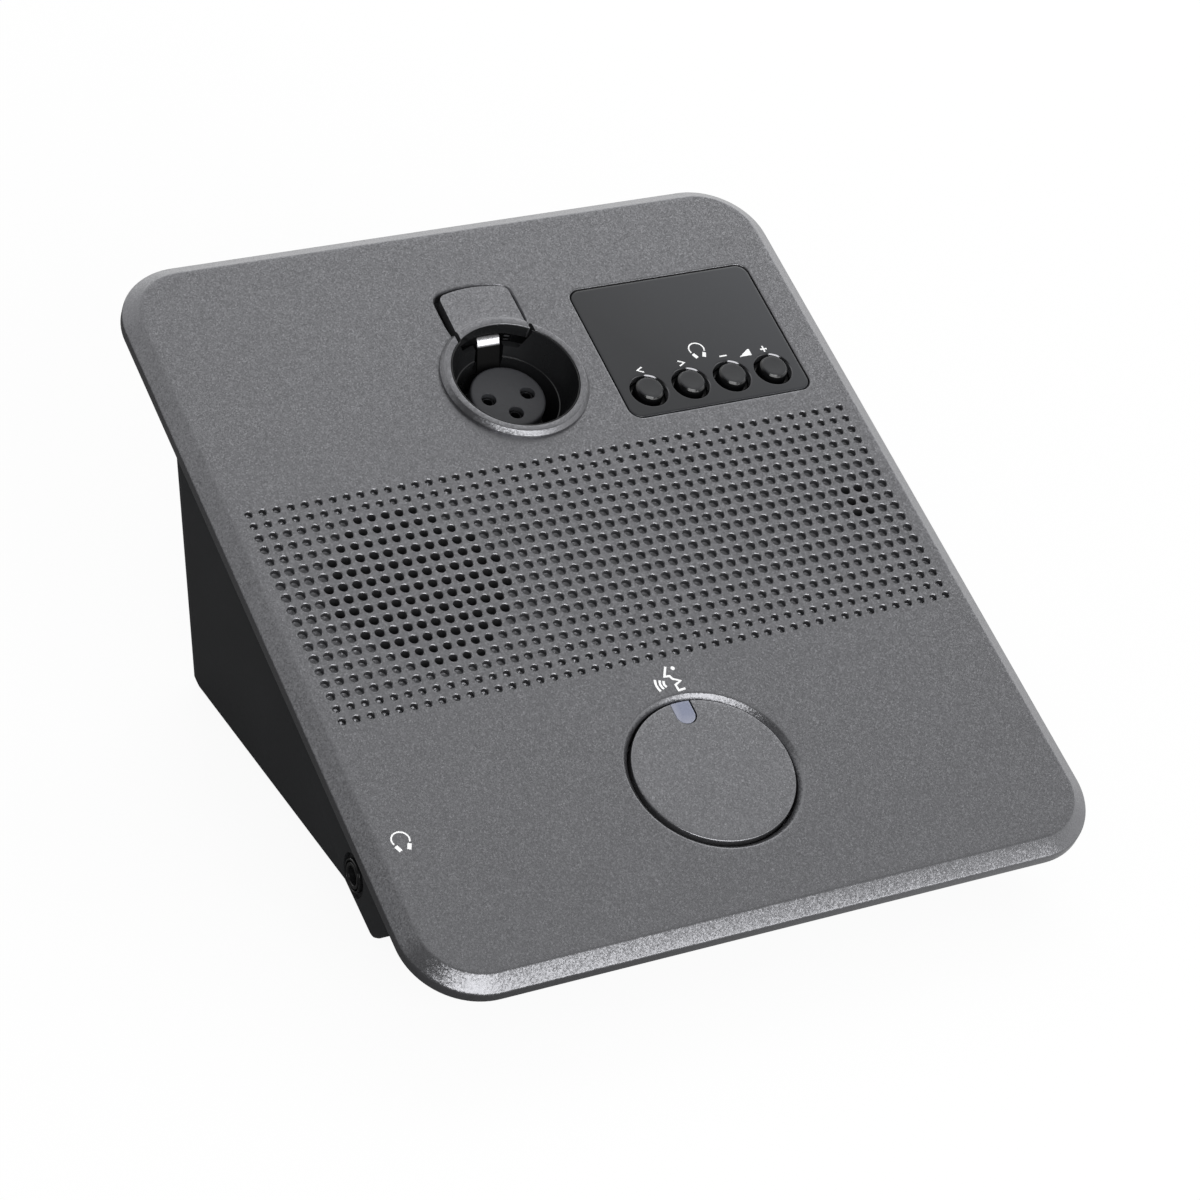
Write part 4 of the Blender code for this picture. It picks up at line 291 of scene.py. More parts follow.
class Shape:
    """Points and faces gathered from several surfaces, in panel millimetres. What adds one gives the shape back."""

    def __init__(self):
        self.points, self.faces, self.count = [], [], 0

    def add(self, points, faces):
        """Takes one surface."""
        points = np.asarray(points, float).reshape(-1, 3)
        self.points.append(points)
        self.faces += [[self.count + int(index) for index in face] for face in faces]
        self.count += len(points)
        return self

    def take(self, other):
        """Takes another shape's surfaces."""
        return self.add(np.concatenate(other.points), other.faces)

    def moved(self, change):
        """The same faces on points that a function has carried elsewhere."""
        return Shape().add(change(np.concatenate(self.points)), self.faces)

    def sweep(self, rings, closed=False, around=True):
        """Takes a grid of rings of stations."""
        return self.add(rings, grid_faces(rings.shape[0], rings.shape[1], around, closed))

    def flat(self, loops, height):
        """Fills a level outline less its holes with triangles that use only the loops' points."""
        loops = [leftward(distinct(np.asarray(loop)[:, :2])) for loop in loops]
        ends = np.cumsum([0] + [len(loop) for loop in loops])
        rims = [list(range(start, end)) for start, end in zip(ends[:-1], ends[1:])]
        corners = [Vector(point) for point in np.concatenate(loops)]
        points, _, triangles, _, _, owners = delaunay_2d_cdt(corners, [], rims, 1, 1e-7)
        kept = [triangle for triangle, owner in zip(triangles, owners) if len(owner) == 1]
        return self.add(with_height(np.array([tuple(point) for point in points]), height), kept)

    def slab(self, loops, low, high):
        """An upright plate between two heights: two flat faces and a wall along each loop."""
        for height in (low, high):
            self.flat(loops, height)
        for loop in loops:
            self.sweep(np.stack([with_height(loop, low), with_height(loop, high)]))
        return self

    def block(self, lowest, highest):
        """A plain box between two corners."""
        (x0, y0, z0), (x1, y1, z1) = lowest, highest
        return self.slab([np.array([(x0, y0), (x1, y0), (x1, y1), (x0, y1)])], z0, z1)

    def mesh(self, name):
        """Its welded mesh in the row's frame, in metres."""
        return welded_mesh(name, on_panel(np.concatenate(self.points)), self.faces)


def lathe(profile, sides, centre, closed=False):
    """A shape that is one profile turned about an upright axis."""
    return Shape().sweep(turned(profile, sides, centre), closed)


def pierced(rim, holes, top, foot):
    """A level sheet: its rim and holes as rings from top to foot, with both faces filled between them."""
    shape = Shape()
    for rings in [rim] + holes:
        shape.sweep(rings)
    for ring, height in ((0, top), (-1, foot)):
        shape.flat([rim[ring]] + [rings[ring] for rings in holes], height)
    return shape


def edge_on(loop, left, right):
    """A plate whose side view is a loop of (along, height), between two places across."""
    return Shape().slab([loop], left, right).moved(crosswise)


def smooth(mesh):
    """Shades a mesh smooth up to its sharp edges."""
    mesh.shade_smooth()
    mesh.set_sharp_from_angle(angle=SHARP)


def welded_mesh(name, points, faces, outward=True):
    """A mesh whose points that lie together are joined, without empty faces and with the rest turned outwards."""
    mesh = bpy.data.meshes.new(name)
    mesh.from_pydata(points.tolist(), [], faces)
    work = bmesh.new()
    work.from_mesh(mesh)
    bmesh.ops.remove_doubles(work, verts=work.verts, dist=2e-7)
    bmesh.ops.dissolve_degenerate(work, edges=work.edges, dist=1e-8)
    if outward:
        bmesh.ops.recalc_face_normals(work, faces=work.faces)
    work.to_mesh(mesh)
    work.free()
    smooth(mesh)
    return mesh


def new_piece(name, shape, finish, body, slot, *nodes):
    """A welded piece in place, with its finish, that rides on a body and stands for CAD nodes."""
    return settle(bpy.data.objects.new(name, shape.mesh(name)), finish, body, slot, *nodes)


def settle(piece, finish, body, slot, *nodes):
    """Links a piece in with its finish, puts it on its body when it has one, and hides the CAD nodes that it stands
    for.
    """
    bpy.context.scene.collection.objects.link(piece)
    piece.data.materials.clear()
    piece.data.materials.append(finish_named(finish))
    if body:
        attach(piece, body)
    if nodes:
        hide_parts(*nodes)
    return piece


def mesh_values(values, key, width, kind):
    """One property of all of a mesh's points or corners as rows of numbers."""
    rows = np.empty(len(values) * width, kind)
    values.foreach_get(key, rows)
    return rows.reshape(-1, width)


def merged_copy(name, node, finish, body, slot):
    """A copy of a CAD node with its loose triangles welded and smooth-shaded, which stands for it."""
    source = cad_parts[node].data
    points = mesh_values(source.vertices, "co", 3, np.float32)
    corners = mesh_values(source.loops, "vertex_index", 1, np.int32).reshape(-1, 3)
    mesh = welded_mesh(name, points, corners.tolist(), outward=False)
    return settle(bpy.data.objects.new(name, mesh), finish, body, slot, node)


def sprung_copy(name, node, finish):
    """A welded copy of a CAD spring, on no body, baked into place."""
    piece = merged_copy(name, node, finish, None, "steel")
    upright = np.array((0.0, -math.sin(SLOPE), math.cos(SLOPE)))
    heights = mesh_values(piece.data.vertices, "co", 3, float) @ upright
    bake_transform(piece)


def break_edges(piece, width, segments=2):
    """Rounds a piece's hard edges by a width in millimetres."""
    bevel = piece.modifiers.new("Broken edges", "BEVEL")
    bevel.width, bevel.segments = width / 1000, segments
    bevel.limit_method, bevel.angle_limit = "ANGLE", math.radians(50)
    bevel.harden_normals = True


def carve(piece, cutter):
    """Cuts a shape out of a piece for good."""
    mesh = cutter.mesh("cutter")
    helper = bpy.data.objects.new("cutter", mesh)
    bpy.context.scene.collection.objects.link(helper)
    cut = piece.modifiers.new("Cut", "BOOLEAN")
    cut.operation, cut.solver, cut.object = "DIFFERENCE", "EXACT", helper
    bpy.context.view_layer.update()
    carved = bpy.data.meshes.new_from_object(piece.evaluated_get(bpy.context.evaluated_depsgraph_get()))
    piece.modifiers.remove(cut)
    old, piece.data = piece.data, carved
    carved.name = old.name
    bpy.data.meshes.remove(old)
    bpy.data.objects.remove(helper)
    bpy.data.meshes.remove(mesh)
    smooth(carved)


# ---- finishes ----


class Channel:
    """A number in a finish's nodes. Arithmetic on it adds Math nodes."""

    def __init__(self, finish, socket):
        self.finish, self.socket = finish, socket

    def math(self, operation, other=0.0):
        """One Math node on this number and another."""
        return self.finish.node("ShaderNodeMath", {"operation": operation}, {0: self, 1: other})

    def __add__(self, other):
        return self.math("ADD", other)

    def __sub__(self, other):
        return self.math("SUBTRACT", other)

    def __rsub__(self, other):
        return self.finish.node("ShaderNodeMath", {"operation": "SUBTRACT"}, {0: other, 1: self})

    def __mul__(self, other):
        return self.math("MULTIPLY", other)

    def __truediv__(self, other):
        return self.math("DIVIDE", other)

    def __pow__(self, other):
        return self.math("POWER", other)

    def __gt__(self, other):
        return self.math("GREATER_THAN", other)

    def sine(self):
        """The sine of this number."""
        return self.math("SINE")

    __radd__ = __add__
    __rmul__ = __mul__


class Finish:
    """One material and the nodes that make it."""

    def __init__(self, name):
        self.material = bpy.data.materials.new(name)
        self.use(self.material, "Object")

    def use(self, owner, coordinate):
        """Empties the node tree of a material or world, and starts it with a coordinate."""
        owner.use_nodes = True
        self.tree = owner.node_tree
        self.tree.nodes.clear()
        self.place = self.node("ShaderNodeTexCoord", {}, {}, coordinate)

    def node(self, kind, settings, inputs, output=0):
        """Adds a node: first its settings, then the values or links of its sockets."""
        node = self.tree.nodes.new(kind)
        for key, value in settings.items():
            setattr(node, key, value)
        for key, value in inputs.items():
            socket = node.inputs[key]
            if isinstance(value, Channel):
                self.tree.links.new(value.socket, socket)
            elif socket.type == "RGBA" and hasattr(value, "__len__"):
                socket.default_value = (*value[:3], 1)
            else:
                socket.default_value = value
        return Channel(self, node.outputs[output])

    def vector(self, operation, inputs):
        """One Vector Math node."""
        return self.node("ShaderNodeVectorMath", {"operation": operation}, inputs)

    def part(self, vector, index):
        """One coordinate of a vector."""
        return self.node("ShaderNodeSeparateXYZ", {}, {"Vector": vector}, index)

    def noise(self, scale, detail=2.0, roughness=0.5, place=None):
        """Soft noise from 0 to 1; the scale is in waves to the metre."""
        return self.node("ShaderNodeTexNoise", {}, {"Vector": place or self.place, "Scale": scale,
                                                    "Detail": detail, "Roughness": roughness}, "Fac")

    def drawn(self, squeeze):
        """Fine drawn lines: noise whose waves are long where squeeze is small."""
        return self.noise(9000, 2, 0.6, self.vector("MULTIPLY", {0: self.place, 1: squeeze}))

    def specks(self, scale):
        """One random colour for each small cell."""
        return self.node("ShaderNodeTexVoronoi", {}, {"Vector": self.place, "Scale": scale}, "Color")

    def cells(self, scale):
        """One random number for each small cell."""
        return self.node("ShaderNodeSeparateColor", {}, {"Color": self.specks(scale)}, 0)

    def flakes(self, scale, lean):
        """The surface's normal leant a little to a random side in each small cell."""
        side = self.vector("SUBTRACT", {0: self.specks(scale), 1: (0.5, 0.5, 0.5)})
        side = self.vector("SCALE", {0: side, "Scale": lean})
        normal = self.node("ShaderNodeNewGeometry", {}, {}, "Normal")
        return self.vector("NORMALIZE", {0: self.vector("ADD", {0: normal, 1: side})})

    def span(self, value, low, high, new_low=0.0, new_high=1.0):
        """Stretches a number from one range to another."""
        return self.node("ShaderNodeMapRange", {}, {0: value, 1: low, 2: high, 3: new_low, 4: new_high})

    def spread(self, noise, low=0.0, high=1.0):
        """A noise stretched from the range of most of its values to another."""
        return self.span(noise, *NOISE_RANGE, low, high)

    def axis(self, index):
        """One of the panel's own coordinates in metres, from the place turned back by the slope."""
        mapping = self.node("ShaderNodeMapping", {"vector_type": "TEXTURE"},
                            {"Vector": self.place, "Location": PANEL_ORIGIN, "Rotation": (SLOPE, 0, 0)})
        return self.part(mapping, index)

    def mix(self, factor, first, second):
        """A colour between two others."""
        return self.node("ShaderNodeMix", {"data_type": "RGBA"}, {0: factor, 6: first, 7: second}, 2)

    def tones(self, factor, colour, dark, light):
        """A colour between a darker and a lighter version of one colour."""
        return self.mix(factor, scaled(colour, dark), scaled(colour, light))

    def bump(self, height, strength, distance=0.0001):
        """A normal from a height."""
        return self.node("ShaderNodeBump", {}, {"Height": height, "Strength": strength, "Distance": distance})

    def rays(self):
        """Whether a ray is the camera's, a glossy one and a transmitted one."""
        node = self.tree.nodes.new("ShaderNodeLightPath")
        return [Channel(self, node.outputs[f"Is {kind} Ray"]) for kind in ("Camera", "Glossy", "Transmission")]

    def shade(self, **inputs):
        """Closes the finish with one Principled shader; names use _ for a space."""
        named = {key.replace("_", " "): value for key, value in inputs.items()}
        self.close(self.node("ShaderNodeBsdfPrincipled", {}, named))
        return self.material

    def close(self, shader, kind="ShaderNodeOutputMaterial"):
        """Joins a shader to the output."""
        self.tree.links.new(shader.socket, self.tree.nodes.new(kind).inputs["Surface"])


def scaled(colour, factor):
    """A colour made lighter or darker."""
    return tuple(min(1.0, part * factor) for part in colour)


def metallic_paint(name, colour, flake):
    """Satin metallic grey: a fine mottle of tone, and small flakes that each lean their own way."""
    finish = Finish(name)
    mottle = finish.noise(0.8 / flake, 3, 0.6)
    cloud = finish.noise(0.03 / flake, 2)
    tone = finish.spread(mottle * 0.7 + finish.cells(1.3 / flake) * 0.12 + cloud * 0.18)
    return finish.shade(Base_Color=finish.tones(tone, colour, 0.92, 1.08), Metallic=0.88,
                        Roughness=finish.spread(mottle, 0.36, 0.31), Specular_IOR_Level=0.4,
                        Normal=finish.flakes(1.3 / flake, 0.18))


def moulded_plastic(name, colour, rough=0.5, grain=0.00045, strength=0.12, gloss=0.5):
    """Moulded plastic: an eroded grain, slight clouds of tone and of gloss."""
    finish = Finish(name)
    fine = finish.noise(1 / grain, 3, 0.6)
    cloud = finish.noise(60, 3)
    dull = finish.span(cloud + fine * 0.5, 0.5, 1.0, rough - 0.05, rough + 0.06)
    return finish.shade(Base_Color=finish.tones(finish.spread(cloud * 0.6 + fine * 0.4), colour, 0.86, 1.16),
                        Roughness=dull, Specular_IOR_Level=gloss, Normal=finish.bump(fine, strength, 0.00008))


def brushed_metal(name, colour, rough=0.28):
    """Metal with fine lines drawn across the unit, which drive tone, gloss and relief."""
    finish = Finish(name)
    lines = finish.drawn((1 / 26, 1.0, 1.0))
    cloud = finish.noise(240, 2)
    gloss = finish.spread(lines * 0.6 + cloud * 0.4, rough - 0.06, rough + 0.10)
    return finish.shade(Base_Color=finish.tones(finish.spread(lines), colour, 0.82, 1.12), Metallic=1.0,
                        Roughness=gloss, Normal=finish.bump(lines, 0.10, 0.00003))


def smoked_window(name, colour):
    """Smoked glossy sheet: deep tone, a painted reflection that makes it paler towards its far corner, dust, and a
    painted highlight at the keys' holes: a lighter, metallic ring on their bevels.
    """
    finish = Finish(name)
    cloud = finish.noise(28, 2)
    across, along, out = (finish.axis(index) for index in range(3))
    # Painted reflection: the sheet grows paler towards its far corner across a soft diagonal.
    corner = finish.span(across * 0.864 + along * 0.503, 0.046, 0.080)
    dust = finish.span(finish.cells(3200), 0.97, 1.0, 0.0, 0.1)
    tone = finish.spread(cloud, 0.0, 0.06) + dust + corner * 0.84
    # Painted highlight: near the key row, a ring at the wells' bevel is lighter and metallic.
    row = finish.span((along - KEY_ROW[1] / 1000) ** 2, 2.3e-5, 2.1e-5)
    row = row * finish.span((across - KEY_ROW[0] / 1000) ** 2, 3.4e-4, 3.3e-4)
    bevel = finish.span(out, -0.00011, -0.00013) * finish.span(out, -0.00046, -0.00042) * row
    base = finish.mix(bevel, finish.tones(tone, colour, 0.90, 2.30), (0.11, 0.11, 0.115))
    return finish.shade(Base_Color=base, Roughness=finish.spread(cloud, 0.10, 0.16), Metallic=bevel,
                        Specular_IOR_Level=0.4, Normal=finish.bump(finish.noise(300, 1), 0.03, 0.00005))


def key_cap(name, colour):
    """Smooth dark plastic keys with a crisp sheen, and painted shade that makes them black below the rim of their
    tops.
    """
    finish = Finish(name)
    cloud = finish.noise(500, 2)
    # Painted shade: below 0.6 mm over the panel, the keys' sides turn nearly black.
    top = finish.span(finish.axis(2), 0.00060, 0.00074)
    base = finish.mix(top, scaled(colour, 0.08), finish.tones(cloud, colour, 0.9, 1.15))
    return finish.shade(Base_Color=base, Roughness=finish.spread(cloud, 0.14, 0.20), Specular_IOR_Level=0.4,
                        Normal=finish.bump(finish.noise(2500, 2), 0.04, 0.00003))


def latch_steel(name, colour):
    """The latch's steel: shining and drawn at its hook, with painted shade below it that makes it near black, dull
    and not metallic.
    """
    finish = Finish(name)
    lines = finish.drawn((1.0, 0.05, 0.05))
    # Painted shade: below its hook the latch turns near black, dull and not metallic.
    above_painted_shade = finish.span(finish.axis(2), -0.00325, -0.0029)
    base = finish.mix(above_painted_shade, scaled(colour, 0.008), finish.tones(lines, colour, 0.9, 1.3))
    dull = finish.span(above_painted_shade, 0, 1, 0.7, 0.28) + finish.spread(lines, -0.04, 0.05)
    return finish.shade(Base_Color=base, Metallic=above_painted_shade, Specular_IOR_Level=0.1, Roughness=dull,
                        Normal=finish.bump(lines, 0.1, 0.00003))


def milky_window(name, colour):
    """Frosted light window: painted light that makes it paler towards its left side and its inner end, with fine
    frost.
    """
    finish = Finish(name)
    across = finish.axis(0) * 1000 / (LIGHT_WIDTH / 2)
    along = (finish.axis(1) * 1000 - (TALK_UP + LIGHT_CENTRE)) / (LIGHT_WIDTH / 2)
    # Painted light: the window grows paler towards its left side and its inner end.
    rim = finish.span(across, -0.25, -0.85).math("MAXIMUM", finish.span(along, 0.1, -0.85))
    frost = finish.noise(3500, 3)
    return finish.shade(Base_Color=finish.mix(rim * 0.55 + frost * 0.2, colour, (0.30, 0.31, 0.37)),
                        Roughness=finish.spread(frost, 0.32, 0.42), Normal=finish.bump(frost, 0.08, 0.00004))


def woven_cloth(name, colour):
    """Plain weave: two crossed sets of threads from sines of the panel's coordinates."""
    finish = Finish(name)
    thread = finish.span((finish.axis(0) * 9000).sine() * (finish.axis(1) * 9000).sine(), -1.0, 1.0)
    fuzz = finish.noise(5000, 2)
    return finish.shade(Base_Color=finish.tones(thread * 0.7 + fuzz * 0.3, colour, 0.5, 2.2), Roughness=0.95,
                        Normal=finish.bump(thread, 0.5), Specular_IOR_Level=0.2)


def printed_ink(name, colour):
    """Screen-printed ink: nearly even, with a fine ragged tone."""
    finish = Finish(name)
    fine = finish.noise(4500, 3)
    return finish.shade(Base_Color=finish.tones(finish.spread(fine), colour, 0.86, 1.08),
                        Roughness=finish.spread(fine, 0.45, 0.6), Normal=finish.bump(fine, 0.05, 0.00002))


def circuit_board(name, colour):
    """Lacquered board: faint lighter tracks on a lattice under a glossy coat."""
    finish = Finish(name)
    across, along = finish.axis(0), finish.axis(1)
    lanes = finish.span((across * 2500).sine(), 0.75, 0.95) + finish.span((along * 1900).sine(), 0.85, 0.97)
    tracks = lanes * (finish.noise(90, 2) > 0.5)
    return finish.shade(Base_Color=finish.tones(tracks * 0.7, colour, 1.0, 2.0),
                        Roughness=finish.spread(finish.noise(400, 2), 0.25, 0.4),
                        Normal=finish.bump(tracks, 0.1, 0.00005))


def striped_ribbon(name, colour):
    """Flat ribbon lead: parallel conductors with grooves between them."""
    finish = Finish(name)
    cores = finish.span((finish.axis(0) * 5200).sine(), -1.0, 1.0)
    wear = finish.noise(900, 3)
    return finish.shade(Base_Color=finish.tones(cores * 0.8 + wear * 0.2, colour, 0.6, 1.15),
                        Roughness=finish.spread(wear, 0.5, 0.65), Normal=finish.bump(cores, 0.3, 0.0002))


def make_finishes(settings):
    """Every finish by name: one for each of the record's slots, and then those of single pieces."""
    dark = (0.02, 0.02, 0.02)
    rows = (
        ("grey_paint", metallic_paint, settings.paint, settings.flake),
        ("black_plastic", moulded_plastic, settings.plastic, 0.55, 0.0005, 0.22, 0.16),
        # The window's finish, also used for the display glass, carries a painted reflection and a painted highlight.
        ("smoked_window", smoked_window, settings.window),
        # The keys' finish carries painted shade below the rim of their tops.
        ("key_plastic", key_cap, (0.026, 0.027, 0.029)),
        ("display_glass", smoked_window, (0.010, 0.011, 0.012)),
        ("board_green", circuit_board, (0.012, 0.09, 0.04)),
        # The light window's finish carries painted light at its left side and inner end.
        ("lamp_window", milky_window, settings.lamp),
        ("lamp", moulded_plastic, (0.6, 0.6, 0.62), 0.3, 0.001, 0.05),
        ("steel", brushed_metal, (0.60, 0.60, 0.61)),
        ("contact_metal", brushed_metal, (0.72, 0.66, 0.48), 0.3),
        ("magnet_metal", brushed_metal, (0.32, 0.32, 0.33), 0.4),
        ("cone_paper", moulded_plastic, dark, 0.85, 0.0008, 0.5),
        ("black_cloth", woven_cloth, (0.008, 0.008, 0.009)),
        ("gasket_foam", moulded_plastic, dark, 0.92, 0.0005, 0.7),
        ("foot_rubber", moulded_plastic, (0.015, 0.015, 0.016), 0.82, 0.0006, 0.3),
        ("ribbon", striped_ribbon, (0.35, 0.36, 0.38)),
        ("lead_vinyl", moulded_plastic, dark, 0.45, 0.002, 0.1),
        ("screw_steel", brushed_metal, (0.16, 0.16, 0.17), 0.35),
        ("ink", printed_ink, settings.ink),
        ("shell_plastic", moulded_plastic, scaled(settings.plastic, 0.33), 0.22, 0.0008, 0.05, 0.35),
        ("insert_plastic", moulded_plastic, (0.041, 0.042, 0.046), 0.42, 0.0009, 0.35, 0.3),
        ("button_paint", metallic_paint, scaled(settings.paint, 1.18), settings.flake),
        ("tab_paint", metallic_paint, scaled(settings.paint, 1.12), settings.flake),
        # Painted shade: near-black metal for the contact sleeves, the release spring and the release pin, where they
        # lie in shade.
        ("sleeve_metal", brushed_metal, (0.030, 0.030, 0.032), 0.45),
        # The latch's finish carries painted shade below its hook.
        ("latch_steel", latch_steel, (0.31, 0.31, 0.32)),
    )
    return {name: make(name, *values) for name, make, *values in rows}


MADE = {}


def finish_named(name):
    """One finish by its name. All are made at the first call."""
    if not MADE:
        MADE.update(make_finishes(bpy.context.scene.delegate_finish))
    if name not in MADE:
        raise RuntimeError(f"no finish is called {name}")
    return MADE[name]


# ---- pieces ----


def hole_lattice():
    """Centre, radius and openness of each hole, over the whole lattice at once."""
    column, row = [part.ravel() for part in np.meshgrid(np.arange(COLUMNS), np.arange(ROWS))]
    centre = np.stack([(column - (COLUMNS - 1) / 2) * PITCH, TOP_ROW - row * PITCH], axis=1)
    edge = np.minimum(row, ROWS - 1 - row)
    radius = np.select([edge < 2, edge < 5], [SMALL_HOLE / 2, MIDDLE_HOLE / 2], FULL_HOLE / 2)
    field = ((column - FIELD_PLACE[0]) / FIELD_REACH[0]) ** 2 + ((row - FIELD_PLACE[1]) / FIELD_REACH[1]) ** 2 <= 1
    vent = np.isin(column, VENT_COLUMNS) & np.isin(row, VENT_ROWS)
    return centre, radius, field | vent


def hole_rings(centre, radius, steps):
    """Rings round every hole: steps are (added radius, share of the radius, height), one for each ring."""
    turn = circle(1.0, HOLE_SIDES)
    return np.stack([with_height(centre[:, None] + (radius * share + added)[:, None, None] * turn[None], height)
                     for added, share, height in steps], axis=1)


def tab_reach(angle, gap):
    """How far the tab's outline, grown by a gap, lies from the socket's axis, at an angle from straight
    back: the end arc, then the corner arc, then half width / sin angle along the straight side."""
    half, reach, corner = TAB_WIDTH / 2 + gap, TAB_REACH + gap, TAB_CORNER + gap
    angle = np.abs(angle)
    start = np.arcsin((half - corner) / (reach - corner))
    middle_x, middle_y = half - corner, (reach - corner) * np.cos(start)
    along = middle_x * np.sin(angle) + middle_y * np.cos(angle)
    arc = along + np.sqrt(np.maximum(along ** 2 - middle_x ** 2 - middle_y ** 2 + corner ** 2, 0))
    side = half / np.maximum(np.sin(angle), 0.1)
    return np.where(angle <= start, reach, np.where(angle >= np.arctan2(half, middle_y), side, arc))


def back_polar(radius, angle, height):
    """Points round the socket's axis at an angle from straight back, clockwise."""
    radius, angle, height = np.broadcast_arrays(radius, angle, height)
    return np.stack([radius * np.sin(angle), SOCKET_UP + radius * np.cos(angle), height], axis=-1)


def tab_angles(half_gap):
    """Angles over the tab's sector, close together at the corners of its outline."""
    half = np.concatenate([np.linspace(0, 0.255, 9), np.linspace(0.27, 0.42, 14), np.linspace(0.44, half_gap, 9)])
    return np.concatenate([-half[:0:-1], half])


def socket_columns():
    """The collar and the tab's opening as one band of columns, from the panel's face to its underside.

    Away from the tab a column is the collar's profile; its angle is stretched so that at each
    radius the collar ends on the tab's side, where half width = radius * sin angle. In the tab's
    sector a column is the opening's lip, which grows from nothing at the collar's ends.
    """
    profile = filleted(((COLLAR_RADIUS, 0, 0), (COLLAR_RADIUS, COLLAR_FOOT, 0.25),
                        (COLLAR_TOP_RADIUS, COLLAR_HEIGHT, 0.28), (COLLAR_BORE, COLLAR_HEIGHT, 0.22),
                        (COLLAR_BORE, -PLATE, 0)))
    half = TAB_WIDTH / 2 + TAB_GAP
    ends = np.arcsin(half / profile[:, 0])[:, None]
    half_gap = float(np.arcsin(half / COLLAR_RADIUS))
    sweep = np.linspace(0, 1, FINE + 1)[None]
    collar = back_polar(profile[:, :1], ends + sweep * (math.tau - 2 * ends), profile[:, 1:])
    angle = tab_angles(half_gap)
    lip = 0.36 * np.clip((half_gap - np.abs(angle)) / 0.08, 0, 1)
    steps = [(1.8, 0.0), (1.15, 0.0), (0.85, 0.06), (0.12, 0.8), (0.0, 1.1)]
    rings = [back_polar(tab_reach(angle, TAB_GAP + lip * out), angle, -lip * down) for out, down in steps]
    rings += [rings[-1]] * (len(profile) - len(steps) - 1)
    rings.append(back_polar(tab_reach(angle, TAB_GAP), angle, -PLATE))
    return np.concatenate([np.stack(rings), collar], axis=1)


def rounded_rings(profile, size, corner, centre=(0.0, 0.0), steps=10):
    """A rounded outline carried along a profile of (growth, height): its sides and corners grow together."""
    return np.stack([with_height(rounded_loop(size[0] + 2 * grow, size[1] + 2 * grow, max(corner + grow, 0.9),
                                              centre, steps), height) for grow, height in profile])


def panel_shape(grille):
    """The painted panel: chamfered edge and rim, collar, openings, guide tube and every drilled hole."""
    edge = rounded_rings(filleted(
        ((-CHAMFER_WIDTH - 1.2, 0, 0), (-CHAMFER_WIDTH, 0, 0.9), (0, -CHAMFER_DROP, 0.7), (0, -RIM_DEPTH, 0.35),
         (-RIM_WALL, -RIM_DEPTH, 0.3), (-RIM_WALL, -PLATE, 0)), 6), PANEL_SIZE, PANEL_CORNER, steps=22)
    collar = socket_columns()
    mouth, guide, ledge = TALK_WELL + TALK_WELL_CHAMFER, TALK_WELL + GUIDE_WALL, LENS_FOOT - GAP
    tube = turned(filleted(((mouth + 0.8, 0, 0), (mouth, 0, 0.55), (TALK_WELL, -TALK_WELL_CHAMFER, 0.4),
                            (TALK_WELL, GUIDE_FOOT, 0.2), (guide, GUIDE_FOOT, 0.2), (guide, -PLATE, 0)), 6),
                  FINE, (0, TALK_UP))
    pocket = rounded_rings(filleted(((GAP + 0.45, 0, 0), (GAP, 0, 0.22), (GAP, ledge, 0), (-LEDGE, ledge, 0),
                                     (-LEDGE, -PLATE, 0)), 4), WINDOW_SIZE, WINDOW_CORNER, WINDOW_PLACE)
    openings = [collar, tube, pocket]
    centre, radius, through = hole_lattice()
    chamfer, depth = grille.chamfer * 1000, grille.dimple * 1000
    broken, tip = [(chamfer, 1, 0), (0, 1, -chamfer)], -depth - CONE_DEPTH
    blind = hole_rings(centre[~through], radius[~through],
                       broken + [(0, 1, -depth), (0, CONE_TIP, tip), (0, 0, tip)])
    drilled = hole_rings(centre[through], radius[through], broken + [(0, 1, -PLATE)])
    shape = Shape()
    for rings in [edge] + openings:
        shape.sweep(rings)
    for holes in (blind, drilled):
        count, rings, stations = holes.shape[:3]
        start = np.arange(count)[:, None, None] * rings * stations
        shape.add(holes, (grid_faces(rings, stations)[None] + start).reshape(-1, 4))
    shape.flat([edge[0]] + [rings[0] for rings in openings] + list(blind[:, 0]) + list(drilled[:, 0]), 0)
    shape.flat([edge[-1]] + [rings[-1] for rings in openings] + list(drilled[:, -1]), -PLATE)
    return shape


def shell_shape():
    """The socket's shell: lip, funnel, bore, floor and flange, turned about the socket's axis."""
    lip, bore, seat = COLLAR_BORE - 0.06, FUNNEL_END - 0.2, INSERT_RADIUS + GAP
    start = (lip - 0.35, 0.6, 0)
    profile = filleted(
        (start, (lip - 0.22, COLLAR_HEIGHT - 0.12, 0.1), (lip, COLLAR_HEIGHT - 0.2, 0.08), (lip, -1.2, 0),
         (SHELL_OUTER, -1.6, 0), (SHELL_OUTER, FLANGE_TOP, 0.2), (FLANGE_RADIUS, FLANGE_TOP, 0.3),
         (FLANGE_RADIUS, FLANGE_FOOT, 0.3), (BARREL_RADIUS, FLANGE_FOOT, 0.3), (BARREL_RADIUS, SHELL_FOOT, 0.4),
         (seat, SHELL_FOOT, 0.2), (seat, SHELL_FLOOR, 0.2), (bore, SHELL_FLOOR, 0.3),
         (bore, -FUNNEL_DEPTH - 0.08, 0.04), (FUNNEL_END, -FUNNEL_DEPTH, 0.1), start))
    return lathe(profile, FINE, (0, SOCKET_UP), closed=True)


